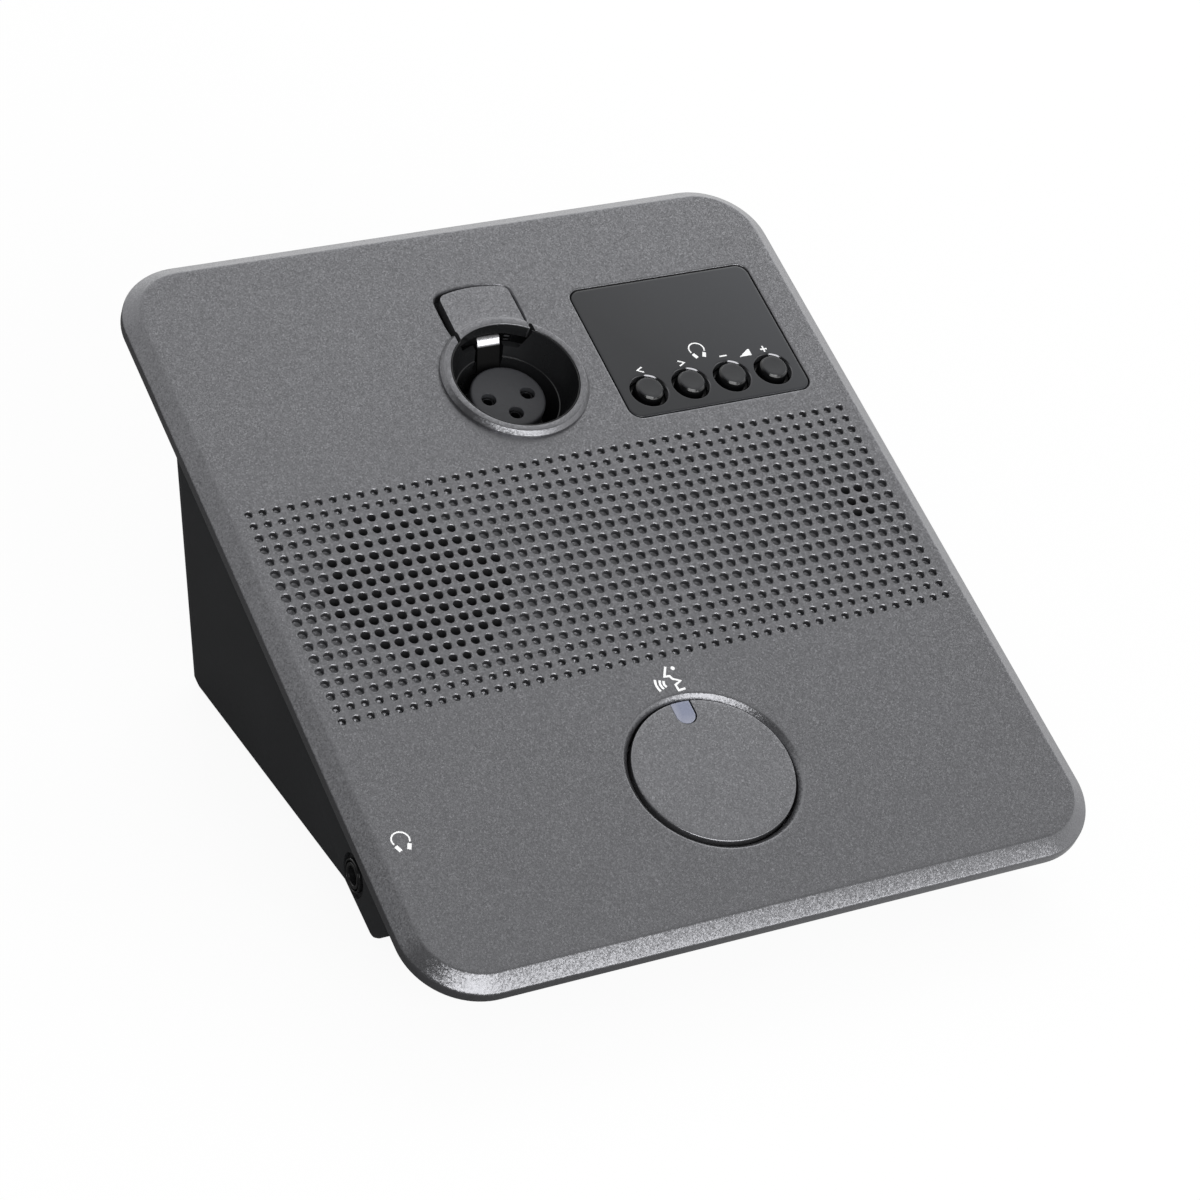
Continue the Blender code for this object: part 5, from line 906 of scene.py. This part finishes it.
def shelf_corner_shape(side):
    """What a rounding takes off the housing's front corner: the square corner, 2 mm oversize, less a quarter
    disc, carried down the leaning front wall."""
    heights, loops = (-1.0, -14.5), []
    outside, inside = -HOUSING_WIDTH / 2 - 2, HOUSING_ROUNDING - HOUSING_WIDTH / 2
    for height in heights:
        front = FRONT_PLACE + FRONT_LEAN * (height - FRONT_LEVEL)
        behind = front + HOUSING_ROUNDING
        arc = polar(HOUSING_ROUNDING, np.linspace(1.5, 1.0, 15) * math.pi, (inside, behind))
        outer = [(outside, behind), (outside, front - 2), (inside, front - 2)]
        loops.append(with_height(np.concatenate([arc, outer]) * (-side, 1), height))
    return pierced(np.stack(loops), [], *heights)


def insert_shape():
    """The insulating insert: a disc with a broken edge and three round holes that narrow at a step."""
    rim = turned(filleted(((INSERT_RADIUS - 0.8, INSERT_TOP, 0), (INSERT_RADIUS, INSERT_TOP, 0.45),
                           (INSERT_RADIUS, SHELL_FOOT, 0))), FINE, (0, SOCKET_UP))
    step = CONTACT_TOP + 0.05
    hole = filleted(((CONTACT_MOUTH + 0.3, INSERT_TOP, 0), (CONTACT_MOUTH, INSERT_TOP, 0.14),
                     (CONTACT_MOUTH, step, 0), (CONTACT_HOLE, step, 0), (CONTACT_HOLE, SHELL_FOOT, 0)))
    return pierced(rim, [turned(hole, 40, place) for place in CONTACT_PLACES], INSERT_TOP, SHELL_FOOT)


def contact_shape(place):
    """One plated sleeve with a thin tail: a hollow turned profile."""
    tail = CONTACT_BORE / 2
    profile = filleted(((0, SHELL_FLOOR, 0), (CONTACT_BORE, SHELL_FLOOR, 0.1), (CONTACT_BORE, CONTACT_TOP, 0.15),
                        (CONTACT_RADIUS, CONTACT_TOP, 0.2), (CONTACT_RADIUS, SHELL_FOOT, 0.1),
                        (tail, SHELL_FOOT, 0.05), (tail, CONTACT_TAIL_FOOT, 0.1), (0, CONTACT_TAIL_FOOT, 0)))
    return lathe(profile, 36, place)


def tab_shape():
    """The release tab: rings from the collar's bore outwards and on to the tab's own outline.

    Near the socket the rings keep the collar's radii and its profile, so that the lip carries the
    collar on; behind it they blend to the outline. The underside is level.
    """
    half = TAB_WIDTH / 2
    share = np.linspace(-1, 1, 41)
    start = math.asin((half - TAB_CORNER) / (TAB_REACH - TAB_CORNER))
    corner = np.arctan2(half, (TAB_REACH - TAB_CORNER) * math.cos(start))
    outline = np.interp(np.abs(share), (0, 0.5, 0.97), (0, start, corner)) * np.sign(share)
    outer = back_polar(tab_reach(outline, 0.0) - TAB_TRIM * np.cos(outline) ** 8, outline, 0.0)
    lip = filleted(((COLLAR_BORE, COLLAR_HEIGHT - 0.5, 0), (COLLAR_BORE, COLLAR_HEIGHT, 0.2),
                    (COLLAR_TOP_RADIUS + 0.1, COLLAR_HEIGHT, 0.3), (COLLAR_RADIUS, TAB_TOP, 0.4),
                    (COLLAR_RADIUS + 0.7, TAB_TOP, 0)))
    rings = [back_polar(radius, share * math.asin(half / radius), height) for radius, height in lip]
    inner = rings[-1]
    for blend in np.linspace(0, 1, 9)[1:]:
        rings.append(np.concatenate([inner[:, :2] * (1 - blend) + outer[:, :2] * blend,
                                     np.full((len(share), 1), TAB_TOP)], axis=1))
    top = np.stack(rings)
    foot = top.copy()
    foot[..., 2] = TAB_FOOT
    shape = Shape()
    for level in (top, foot):
        shape.sweep(level, around=False)
    rim = [np.concatenate([level[0], level[1:-1, -1], level[-1, ::-1], level[-2:0:-1, 0]]) for level in (top, foot)]
    shape.sweep(np.stack(rim))
    end = PIVOT_LENGTH / 2
    barrel = [(0, -end), (PIVOT_BARREL, -end), (PIVOT_BARREL, end), (0, end)]
    return shape.sweep(ring_about_x(barrel, 40, PIVOT_UP, PIVOT_OUT))


def tab_lining_shape():
    """Black lining of the tab's face to the socket: a thin curved wall over the tab's sector."""
    angle = np.linspace(-1, 1, 33) * math.asin((TAB_WIDTH / 2 - 0.25) / COLLAR_BORE)
    outer, inner, foot, top = COLLAR_BORE - 0.01, COLLAR_BORE - 0.06, TAB_FOOT + 0.1, COLLAR_HEIGHT - 0.28
    rings = np.stack([back_polar(radius, angle, height)
                      for radius, height in ((outer, foot), (outer, top), (inner, top), (inner, foot))])
    shape = Shape().sweep(rings, closed=True, around=False)
    for end in (0, -1):
        shape.add(rings[:, end], [(0, 1, 2, 3)])
    return shape


def latch_shape():
    """The steel latch: a strip whose side view is a filleted path, offset by half its thickness."""
    near = SOCKET_UP + COLLAR_BORE - GAP
    path = filleted(((near + 3.4, -2.0, 0), (near, -2.0, 0.9), (near - 1.17, -3.6, 0.5), (near - 3.5, -8.0, 0)), 7)
    ahead = np.gradient(path, axis=0)
    normal = np.stack([-ahead[:, 1], ahead[:, 0]], axis=1) / np.linalg.norm(ahead, axis=1)[:, None]
    side = np.concatenate([path + normal * LATCH_HALF_SHEET, (path - normal * LATCH_HALF_SHEET)[::-1]])
    return edge_on(side, -LATCH_HALF_WIDTH, LATCH_HALF_WIDTH)


def lens_shape():
    """The window: a level sheet with a broken edge and four wells with bevelled rims."""
    edge = rounded_rings(filleted(((-0.5, LENS_TOP, 0), (0, LENS_TOP, 0.18), (0, LENS_FOOT, 0)), 4),
                         WINDOW_SIZE, WINDOW_CORNER, WINDOW_PLACE, 12)
    well = filleted(((KEY_WELL + 0.6, LENS_TOP, 0), (KEY_WELL + KEY_WELL_BEVEL, LENS_TOP, 0.1),
                     (KEY_WELL, LENS_TOP - KEY_WELL_BEVEL, 0.1), (KEY_WELL, LENS_FOOT, 0)), 4)
    return pierced(edge, [turned(well, MEDIUM, place) for place in KEY_PLACES], LENS_TOP, LENS_FOOT)


def key_shape(place):
    """One round key: a faintly dished cap with a bevel, a flange behind the window and a stem."""
    profile = filleted(((0, 0.80, 0), (1.7, 0.84, 0), (2.36, 0.85, 0.12), (2.80, 0.40, 0.4), (KEY_SIDE, -0.3, 0.3),
                        (KEY_SIDE, KEY_FLANGE_TOP, 0.1), (KEY_FLANGE, KEY_FLANGE_TOP, 0.15),
                        (KEY_FLANGE, KEY_FLANGE_FOOT, 0.15), (KEY_STEM, KEY_FLANGE_FOOT, 0.1),
                        (KEY_STEM, KEY_STEM_FOOT, 0.1), (0, KEY_STEM_FOOT, 0)), 6)
    return lathe(profile, MEDIUM, place)


def talk_shape():
    """The talk button's cap with its skirt, flange and stem, turned about its axis."""
    profile = filleted(((0, TALK_TOP, 0), (TALK_RADIUS - 1.2, TALK_TOP, 0), (TALK_RADIUS, TALK_TOP, 0.30),
                        (TALK_RADIUS, TALK_FLANGE_TOP, 0.1), (TALK_FLANGE, TALK_FLANGE_TOP, 0.2),
                        (TALK_FLANGE, TALK_FLANGE_FOOT, 0.2), (TALK_SKIRT_BORE, TALK_FLANGE_FOOT, 0.2),
                        (TALK_SKIRT_BORE, TALK_CEILING, 0.4), (TALK_POST, TALK_CEILING, 0.4),
                        (TALK_POST, TALK_POST_FOOT, 0.2), (TALK_STEM, TALK_POST_FOOT, 0.1),
                        (TALK_STEM, TALK_STEM_FOOT, 0.2), (0, TALK_STEM_FOOT, 0)), 7)
    return lathe(profile, FINE, (0, TALK_UP))


def light_loop(left, right, far):
    """The light window's outline: straight sides, a round inner end and the cap's own rim."""
    middle, half = (right - left) / 2, (left + right) / 2
    inner = polar(half, np.linspace(math.pi, math.tau, 25), (middle, LIGHT_CENTRE))
    across = np.linspace(right, -left, 13)
    outer = np.stack([across, np.sqrt(far ** 2 - across ** 2)], axis=1)
    return np.concatenate([inner, outer]) + (0, TALK_UP)


def light_shape():
    """The light window: its face in the cap, the plate under it and the post down to the lamp."""
    steps = ((0.3, TALK_TOP), (0.14, TALK_TOP), (0.04, TALK_TOP - 0.05), (0, TALK_TOP - 0.2), (0, LIGHT_FOOT))
    loops = [with_height(light_loop(2.0 - inset, 1.82 - inset, TALK_RADIUS - 0.05 - inset * 2), height)
             for inset, height in steps]
    shape = pierced(np.stack(loops), [], TALK_TOP, LIGHT_FOOT)
    far = TALK_UP + TALK_RADIUS - 1.5 - GAP
    shape.block((-LIGHT_WIDTH / 2, far - 3.8, -3.2), (LIGHT_WIDTH / 2, far, -2.4))
    return shape.sweep(turned([(0, -3.1), (1.4, -3.1), (1.4, -10.8), (0, -10.8)], 32, (0, TALK_UP + LIGHT_CENTRE)))


def stroke(points, width):
    """An even line along a row of points: each point moved to both sides along its mitred normal."""
    points = np.asarray(points, float)
    run = np.diff(points, axis=0)
    run /= np.linalg.norm(run, axis=1)[:, None]
    normal = np.stack([-run[:, 1], run[:, 0]], axis=1)
    before, after = np.concatenate([normal[:1], normal]), np.concatenate([normal, normal[-1:]])
    mitre = before + after
    mitre /= np.maximum(np.sum(mitre * before, axis=1), 0.6)[:, None]
    return np.concatenate([points + mitre * width / 2, (points - mitre * width / 2)[::-1]])


def headphone_loops(centre, size):
    """A headphone sign: a bow over more than half a turn and, under each of its ends, an ear pad."""
    turn = np.linspace(math.radians(-27), math.radians(207), 33)
    bow = polar(1.0, turn) * (0.47 * size, 0.45 * size) + (centre[0], centre[1] + 0.05 * size)
    loops = [stroke(bow, 0.085 * size)]
    for side, end in ((1, bow[0]), (-1, bow[-1])):
        down = np.array([-side * 0.42, -0.907])
        pad = end + down * 0.11 * size
        loops.append(stroke([pad, pad + down * 0.36 * size], 0.21 * size))
    return loops


def symbol_shape(loops, height):
    """Printed signs: flat slabs that stand on a height."""
    shape = Shape()
    for loop in loops:
        shape.slab([loop], height, height + INK_DEPTH)
    return shape


def key_symbols():
    """The window's signs: two arrows, minus, volume wedge, plus and a headphone."""
    lines = [[(26.5, 39.7), (25.3, 39.1), (26.5, 38.4)], [(34.45, 39.7), (35.65, 39.05), (34.45, 38.4)],
             [(43.55, 39.05), (45.15, 39.05)], [(52.75, 39.05), (53.32, 39.05)], [(53.62, 39.05), (54.2, 39.05)],
             [(53.47, 38.3), (53.47, 39.8)]]
    loops = [stroke(line, WINDOW_STROKE) for line in lines]
    loops.insert(3, np.array([(47.65, 38.1), (50.4, 38.1), (50.4, 39.65), (50.15, 39.7)]))
    return loops + headphone_loops((39.65, 41.6), 3.4)


def talk_symbol():
    """The talk sign: a speaking profile, its dot and three waves, each a parabola with its ends drawn in."""
    face = [(0.60, -28.1), (-0.47, -30.12), (0.54, -30.26), (0.80, -30.95), (2.13, -31.68), (0.80, -32.3),
            (0.90, -33.6), (2.30, -33.45)]
    turn = np.linspace(-1, 1, 9)
    waves = [stroke(np.stack([place - 0.18 * (1 - turn ** 2) + 0.10 * np.abs(turn), -31.7 + reach * turn], axis=1),
                    WAVE_STROKE) for place, reach in ((-1.13, 0.68), (-1.85, 0.98), (-2.68, 1.32))]
    return [stroke(face, FACE_STROKE), circle(0.40, 20, (1.85, -28.75))] + waves


def ring_about_x(profile, sides, along, out):
    """Rings of a profile of (radius, place across) turned about a line across the unit."""
    return crosswise(turned(profile, sides)) + (0, along, out)


def jack_piece(profile):
    """A filleted profile turned about the jack's axis."""
    return Shape().sweep(ring_about_x(filleted(profile, 4), 48, JACK_ALONG, JACK_OUT))


def jack_nut_shape():
    """The jack's ring nut: a ring with broken edges just proud of the wall."""
    inner = JACK_RING - 0.4
    return jack_piece(((inner, -63.9, 0), (inner, JACK_FACE, 0.15), (JACK_RING, JACK_FACE, 0.25),
                       (JACK_RING, JACK_RING_FOOT, 0), (inner, JACK_RING_FOOT, 0), (inner, -63.9, 0)))


def jack_shape():
    """The headphone jack: a bush with a deep bore and a broken mouth, and the body behind the wall."""
    return jack_piece(((0, -51.0, 0), (JACK_BORE, -51.0, 0), (JACK_BORE, JACK_FACE, 0.25),
                       (JACK_BUSH, JACK_FACE, 0.15), (JACK_BUSH, -61.5, 0), (JACK_BUSH, -50.6, 0), (0, -50.6, 0)))


def to_floor(points):
    """Points of the floor's frame (across, along the floor, height over it) in the panel's frame."""
    across, along, height = points.T
    cosine, sine = math.cos(FLOOR_TILT), math.sin(FLOOR_TILT)
    return np.stack([across, FLOOR_ORIGIN[0] + along * cosine + height * sine,
                     FLOOR_ORIGIN[1] - along * sine + height * cosine], axis=1)


def net_liner_shape():
    """Black linings of the two network sockets: roof, both sides, back wall and tongue of each, as rows of
    left, right, depths from the rear at the back and the front, foot and top."""
    low, high = NET_FOOT + 4.0, NET_FOOT + 11.5
    walls = ((-5.98, 5.98, 11.9, 0.4, high - 0.45, high - 0.02), (-5.98, -5.55, 11.9, 0.4, low, high - 0.5),
             (5.55, 5.98, 11.9, 0.4, low, high - 0.5), (-5.5, 5.5, 11.9, 11.0, low, high - 0.5),
             (-5.5, 5.5, 11.0, 8.5, low + 0.02, low + 1.4))
    shape = Shape()
    for x in (-NET_SPACING / 2, NET_SPACING / 2):
        for left, right, back, front, foot, top in walls:
            shape.block((x + left, NET_REAR - back, foot), (x + right, NET_REAR - front, top))
    return shape.moved(to_floor)


def net_pins_shape():
    """Eight spring contacts in each network socket: slanting wires in a row."""
    wire = stroke(np.array([(-2.2, 10.9), (-3.0, 10.2), (-9.8, 7.2), (-10.9, 7.2)]) + (NET_REAR, NET_FOOT), 0.3)
    shape = Shape()
    for middle in (-NET_SPACING / 2, NET_SPACING / 2):
        for pin in range(8):
            x = middle + (pin - 3.5) * NET_PIN_PITCH
            shape.take(edge_on(wire, x - 0.17, x + 0.17))
    return shape.moved(to_floor)


def cloth_shape(centre):
    """The loudspeaker's cloth: a thin disc that sags by CLOTH_SAG * (1 - (r / R)^2) * (0.7 + 0.3 cos 3a)."""
    angle = np.linspace(0, math.tau, 72, endpoint=False)[None]
    radius = np.concatenate([np.linspace(0, CLOTH_FLAT, 20), [CLOTH_RADIUS]])[:, None]
    sag = -CLOTH_SAG * (1 - (radius / CLOTH_RADIUS) ** 2) * (0.7 + 0.3 * np.cos(3 * angle))
    top = with_height(polar(radius, angle, centre), CLOTH_TOP + sag)
    foot = with_height(polar(radius, angle, centre), CLOTH_FOOT + sag * 0.5)
    return Shape().sweep(np.concatenate([top, foot[::-1]]))


def gasket_shape(centre):
    """The foam ring under the cloth: a section with |x|^n + |y|^n = 1 turned about the loudspeaker's axis."""
    section = circle(1.0, 28)
    section = np.sign(section) * np.abs(section) ** (2 / RING_SQUARENESS)
    return lathe(section * RING_REACH + RING_MIDDLE, 96, centre, closed=True)


# ---- operators ----


class DressPanel(bpy.types.Operator):
    """Make the painted panel with its collar, openings and drilled field"""
    bl_idname = "delegate.panel"
    bl_label = "Panel"
    bl_options = {"REGISTER"}

    def execute(self, context):
        shape = panel_shape(context.scene.delegate_grille)
        new_piece("panel_cover", shape, "grey_paint", "base", "grey_paint", "top_panel")
        return {"FINISHED"}


class DressHousing(bpy.types.Operator):
    """Make the black housing and its feet"""
    bl_idname = "delegate.housing"
    bl_label = "Housing and feet"
    bl_options = {"REGISTER"}

    def execute(self, context):
        shell = merged_copy("housing_shell", "lower_housing", "black_plastic", "base", "black_plastic")
        for side in (-1, 1):
            carve(shell, shelf_corner_shape(side))
        for foot in FEET:
            pad = merged_copy(foot + "_pad", foot, "foot_rubber", "base", "foot_rubber")
            break_edges(pad, 0.35, 3)
        return {"FINISHED"}


class DressSocket(bpy.types.Operator):
    """Make the microphone socket: shell, insert and contact sleeves"""
    bl_idname = "delegate.socket"
    bl_label = "Microphone socket"
    bl_options = {"REGISTER"}

    def execute(self, context):
        shell = new_piece("socket_funnel", shell_shape(), "shell_plastic", "base", "black_plastic",
                          "socket_shell")
        side = TAB_WIDTH / 2 + GAP
        tab_room = (-side, SOCKET_UP + BORE_RADIUS, -3.2), (side, SOCKET_UP + 24, 4)
        latch_slot = (-3.0, SOCKET_UP + INSERT_RADIUS + 0.6, -10.4), (3.0, SOCKET_UP + 13.0, -2.5)
        for corners in (tab_room, latch_slot):
            carve(shell, Shape().block(*corners))
        new_piece("socket_disc", insert_shape(), "insert_plastic", "base", "black_plastic", "socket_insert")
        # The contact sleeves get the near-black metal of painted shade.
        for index, place in enumerate(CONTACT_PLACES, 1):
            new_piece(f"contact_sleeve_{index}", contact_shape(place), "sleeve_metal", "base",
                      "contact_metal", f"socket_contact_{index}")
        return {"FINISHED"}


class DressRelease(bpy.types.Operator):
    """Make the release tab and its steel latch"""
    bl_idname = "delegate.release"
    bl_label = "Release tab"
    bl_options = {"REGISTER"}

    def execute(self, context):
        tab = new_piece("release_plate", tab_shape(), "tab_paint", "release", "grey_paint", "release_tab")
        break_edges(tab, 0.3, 3)
        new_piece("release_lining", tab_lining_shape(), "shell_plastic", "release", "black_plastic")
        latch = new_piece("latch_strip", latch_shape(), "latch_steel", "release", "steel", "release_latch")
        break_edges(latch, 0.08)
        # The release spring gets the near-black metal of painted shade.
        sprung_copy("release_coil", "release_spring", "sleeve_metal")
        return {"FINISHED"}


class DressWindow(bpy.types.Operator):
    """Make the smoked window and its four keys"""
    bl_idname = "delegate.window"
    bl_label = "Window and keys"
    bl_options = {"REGISTER"}

    def execute(self, context):
        new_piece("window_sheet", lens_shape(), "smoked_window", "base", "smoked_window", "window_lens")
        for index, place in enumerate(KEY_PLACES, 1):
            new_piece(f"key_cap_{index}", key_shape(place), "key_plastic", f"key_{index}_body",
                      "key_plastic", f"key_{index}")
        return {"FINISHED"}


class DressTalk(bpy.types.Operator):
    """Make the talk button and its light window"""
    bl_idname = "delegate.talk"
    bl_label = "Talk button"
    bl_options = {"REGISTER"}

    def execute(self, context):
        cap = new_piece("talk_cap", talk_shape(), "button_paint", "talk", "grey_paint", "talk_button")
        half = LIGHT_WIDTH / 2
        carve(cap, Shape().slab([light_loop(half, half, TALK_RADIUS + 2)], LIGHT_SEAT, 2.0))
        new_piece("talk_light", light_shape(), "lamp_window", "talk", "lamp_window", "talk_light_window")
        sprung_copy("talk_coil", "talk_spring", "steel")
        return {"FINISHED"}


class DressSymbols(bpy.types.Operator):
    """Print the general signs on the window and the panel"""
    bl_idname = "delegate.symbols"
    bl_label = "Signs"
    bl_options = {"REGISTER"}

    def execute(self, context):
        new_piece("window_signs", symbol_shape(key_symbols(), LENS_TOP), "ink", "base", "smoked_window")
        new_piece("talk_sign", symbol_shape(talk_symbol(), 0.0), "ink", "base", "grey_paint")
        headphone = symbol_shape(headphone_loops((-61.6, -51.25), 3.5), 0.0)
        new_piece("headphone_sign", headphone, "ink", "base", "grey_paint")
        return {"FINISHED"}


class DressSockets(bpy.types.Operator):
    """Make the headphone jack and line the network sockets"""
    bl_idname = "delegate.sockets"
    bl_label = "Jack and network sockets"
    bl_options = {"REGISTER"}

    def execute(self, context):
        new_piece("jack_bush", jack_shape(), "shell_plastic", "base", "black_plastic", "headphone_jack")
        new_piece("jack_ring", jack_nut_shape(), "shell_plastic", "base", "black_plastic",
                  "headphone_jack_nut")
        case = merged_copy("network_case", "network_sockets", "steel", "base", "steel")
        break_edges(case, 0.15)
        new_piece("network_lining", net_liner_shape(), "shell_plastic", "base", "black_plastic")
        new_piece("network_pins", net_pins_shape(), "contact_metal", "base", "contact_metal")
        return {"FINISHED"}


class DressSpeaker(bpy.types.Operator):
    """Make the cloth and the foam ring behind the drilled field"""
    bl_idname = "delegate.speaker"
    bl_label = "Loudspeaker cloth"
    bl_options = {"REGISTER"}

    def execute(self, context):
        centre = ((FIELD_PLACE[0] - (COLUMNS - 1) / 2) * PITCH, TOP_ROW - FIELD_PLACE[1] * PITCH)
        cloth = new_piece("speaker_screen", cloth_shape(centre), "black_cloth", "base", "black_cloth",
                          "speaker_cloth")
        new_piece("speaker_ring", gasket_shape(centre), "gasket_foam", "base", "gasket_foam",
                  "speaker_gasket")
        return {"FINISHED"}


class DressInside(bpy.types.Operator):
    """Give every node that stays its finish by the record's slots"""
    bl_idname = "delegate.inside"
    bl_label = "Inner parts"
    bl_options = {"REGISTER"}

    def execute(self, context):
        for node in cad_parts.values():
            slot = node.data.materials[0].name.split(".")[0] if node.data.materials else "black_plastic"
            node.data.materials.clear()
            # The release pin gets the near-black metal of painted shade.
            node.data.materials.append(finish_named("sleeve_metal" if node.name == "release_pin" else slot))
        return {"FINISHED"}


class SetStage(bpy.types.Operator):
    """Set the floor, the room's light, the lamps and the camera"""
    bl_idname = "delegate.stage"
    bl_label = "Stage"
    bl_options = {"REGISTER"}

    def execute(self, context):
        settings = context.scene.delegate_stage
        make_floor(settings)
        make_world(settings)
        make_lamps(settings)
        make_camera()
        context.scene.view_settings.view_transform = "Standard"
        return {"FINISHED"}


def make_floor(settings):
    """A pale floor that looks white to the camera and still takes a soft shadow; for gloss it fades to the
    left, and from below it is clear."""
    reach, tone = FLOOR_REACH, settings.floor
    mesh = bpy.data.meshes.new("floor")
    mesh.from_pydata([(-reach, -reach, 0), (reach, -reach, 0), (reach, reach, 0), (-reach, reach, 0)], [],
                     [(0, 1, 2, 3)])
    floor = bpy.data.objects.new("floor", mesh)
    bpy.context.scene.collection.objects.link(floor)
    finish = Finish("floor")
    camera, glossy, transmission = finish.rays()
    base = finish.mix(camera, finish.tones(finish.noise(40, 3), (tone,) * 3, 0.98, 1.02), (0.95,) * 3)
    matt = finish.node("ShaderNodeBsdfDiffuse", {}, {"Color": base})
    fade = finish.span(finish.part(finish.place, 0), -0.06, 0.16, 0.08, 1.12)
    glow = finish.mix(camera, finish.mix(fade / 2, (0,) * 3, (2,) * 3), (1,) * 3)
    white = finish.node("ShaderNodeEmission", {}, {"Color": glow, "Strength": 1.0})
    seen = camera * 0.93 + (glossy + transmission) * 0.86
    above = finish.node("ShaderNodeMixShader", {}, {0: seen, 1: matt, 2: white})
    under = finish.node("ShaderNodeNewGeometry", {}, {}, "Backfacing")
    clear = finish.node("ShaderNodeBsdfTransparent", {}, {})
    finish.close(finish.node("ShaderNodeMixShader", {}, {0: under, 1: above, 2: clear}))
    mesh.materials.append(finish.material)


class Room(Finish):
    """The world's nodes, built like a finish."""

    def __init__(self, world):
        self.use(world, "Generated")


def make_world(settings):
    """White to the camera; for gloss dark low on the left, white low on the right, grey overhead, and paler
    behind, most of all in the far right corner."""
    world = bpy.data.worlds.new("room")
    bpy.context.scene.world = world
    room = Room(world)
    camera, glossy, _ = room.rays()
    across, along, up = (room.part(room.place, index) for index in range(3))
    left = room.span(up, 0.0, 0.9, 0.06, 0.72) * room.span(along, -0.15, 0.42, 0.20, 1.25)
    right = room.span(up, 0.0, 0.85, 1.45, 0.54)
    side = room.span(across * 0.85 + along * 0.5, -0.30, 0.50)
    rear = room.span(along, 0.12, 0.46, 0.0, 0.46) + room.span(up, 0.83, 0.93, 0.0, 0.14)
    corner = room.span(along, 0.20, 0.50, 0.0, 1.6) * room.span(across, 0.25, 0.60) * room.span(up, 0.15, 0.60)
    sky = left + (right - left) * side + rear + corner
    dim = room.mix(glossy, (settings.ambient,) * 3, room.mix(sky / 4, (0,) * 3, (4,) * 3))
    seen = room.mix(camera, dim, (1,) * 3)
    room.close(room.node("ShaderNodeBackground", {}, {"Color": seen, "Strength": 1.0}), "ShaderNodeOutputWorld")


def make_lamps(settings):
    """Two wide soft lights in front, one high and one low, and one high behind, to the right."""
    for name, place, width, height, power, share in LAMPS:
        data = bpy.data.lights.new(name, "AREA")
        data.shape, data.size, data.size_y = "RECTANGLE", width, height
        data.energy = getattr(settings, power) * share
        lamp = bpy.data.objects.new(name, data)
        lamp.location = place
        lamp.rotation_euler = (Vector(LAMP_TARGET) - Vector(place)).to_track_quat("-Z", "Y").to_euler()
        lamp.visible_glossy = name != "rear"
        bpy.context.scene.collection.objects.link(lamp)


def make_camera():
    """The photograph's camera, from the lattice of holes: its axes as rows and its place in metres."""
    data = bpy.data.cameras.new("camera")
    data.lens, data.sensor_width, data.sensor_fit = LENS, SENSOR, "HORIZONTAL"
    data.clip_start, data.clip_end = 0.01, 50.0
    camera = bpy.data.objects.new("camera", data)
    down, ahead = ([-part for part in axis] for axis in (CAMERA_DOWN, CAMERA_AHEAD))
    axes = Matrix((CAMERA_RIGHT, down, ahead)).transposed()
    camera.matrix_world = Matrix.Translation(CAMERA_PLACE) @ axes.to_4x4()
    bpy.context.scene.collection.objects.link(camera)
    bpy.context.scene.camera = camera


OPERATORS = (DressInside, DressPanel, DressHousing, DressSocket, DressRelease, DressWindow, DressTalk, DressSymbols,
             DressSockets, DressSpeaker, SetStage)


class DelegatePanel(bpy.types.Panel):
    """Lists the unit's settings and what can be made"""
    bl_idname = "VIEW3D_PT_delegate"
    bl_label = "Delegate Unit"
    bl_space_type = "VIEW_3D"
    bl_region_type = "UI"
    bl_category = "Delegate Unit"

    def draw(self, context):
        """Shows each group of settings and one button for each operator."""
        for group in ("delegate_finish", "delegate_grille", "delegate_stage"):
            box = self.layout.box()
            settings = getattr(context.scene, group)
            for name in settings.__annotations__:
                box.prop(settings, name)
        for operator in OPERATORS:
            self.layout.operator(operator.bl_idname)


SETTINGS = {"delegate_finish": FinishSettings, "delegate_grille": GrilleSettings, "delegate_stage": StageSettings}


def register():
    """Makes the settings, operators and panel known to Blender."""
    for group in SETTINGS.values():
        bpy.utils.register_class(group)
    for name, group in SETTINGS.items():
        setattr(bpy.types.Scene, name, bpy.props.PointerProperty(type=group))
    for kind in OPERATORS + (DelegatePanel,):
        bpy.utils.register_class(kind)


def unregister():
    """Takes them away again."""
    for kind in (DelegatePanel,) + OPERATORS[::-1]:
        bpy.utils.unregister_class(kind)
    for name in SETTINGS:
        delattr(bpy.types.Scene, name)
    for group in SETTINGS.values():
        bpy.utils.unregister_class(group)


def main():
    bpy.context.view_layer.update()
    register()
    for operator in OPERATORS:
        group, name = operator.bl_idname.split(".")
        getattr(getattr(bpy.ops, group), name)()


if __name__ == "__main__":
    main()
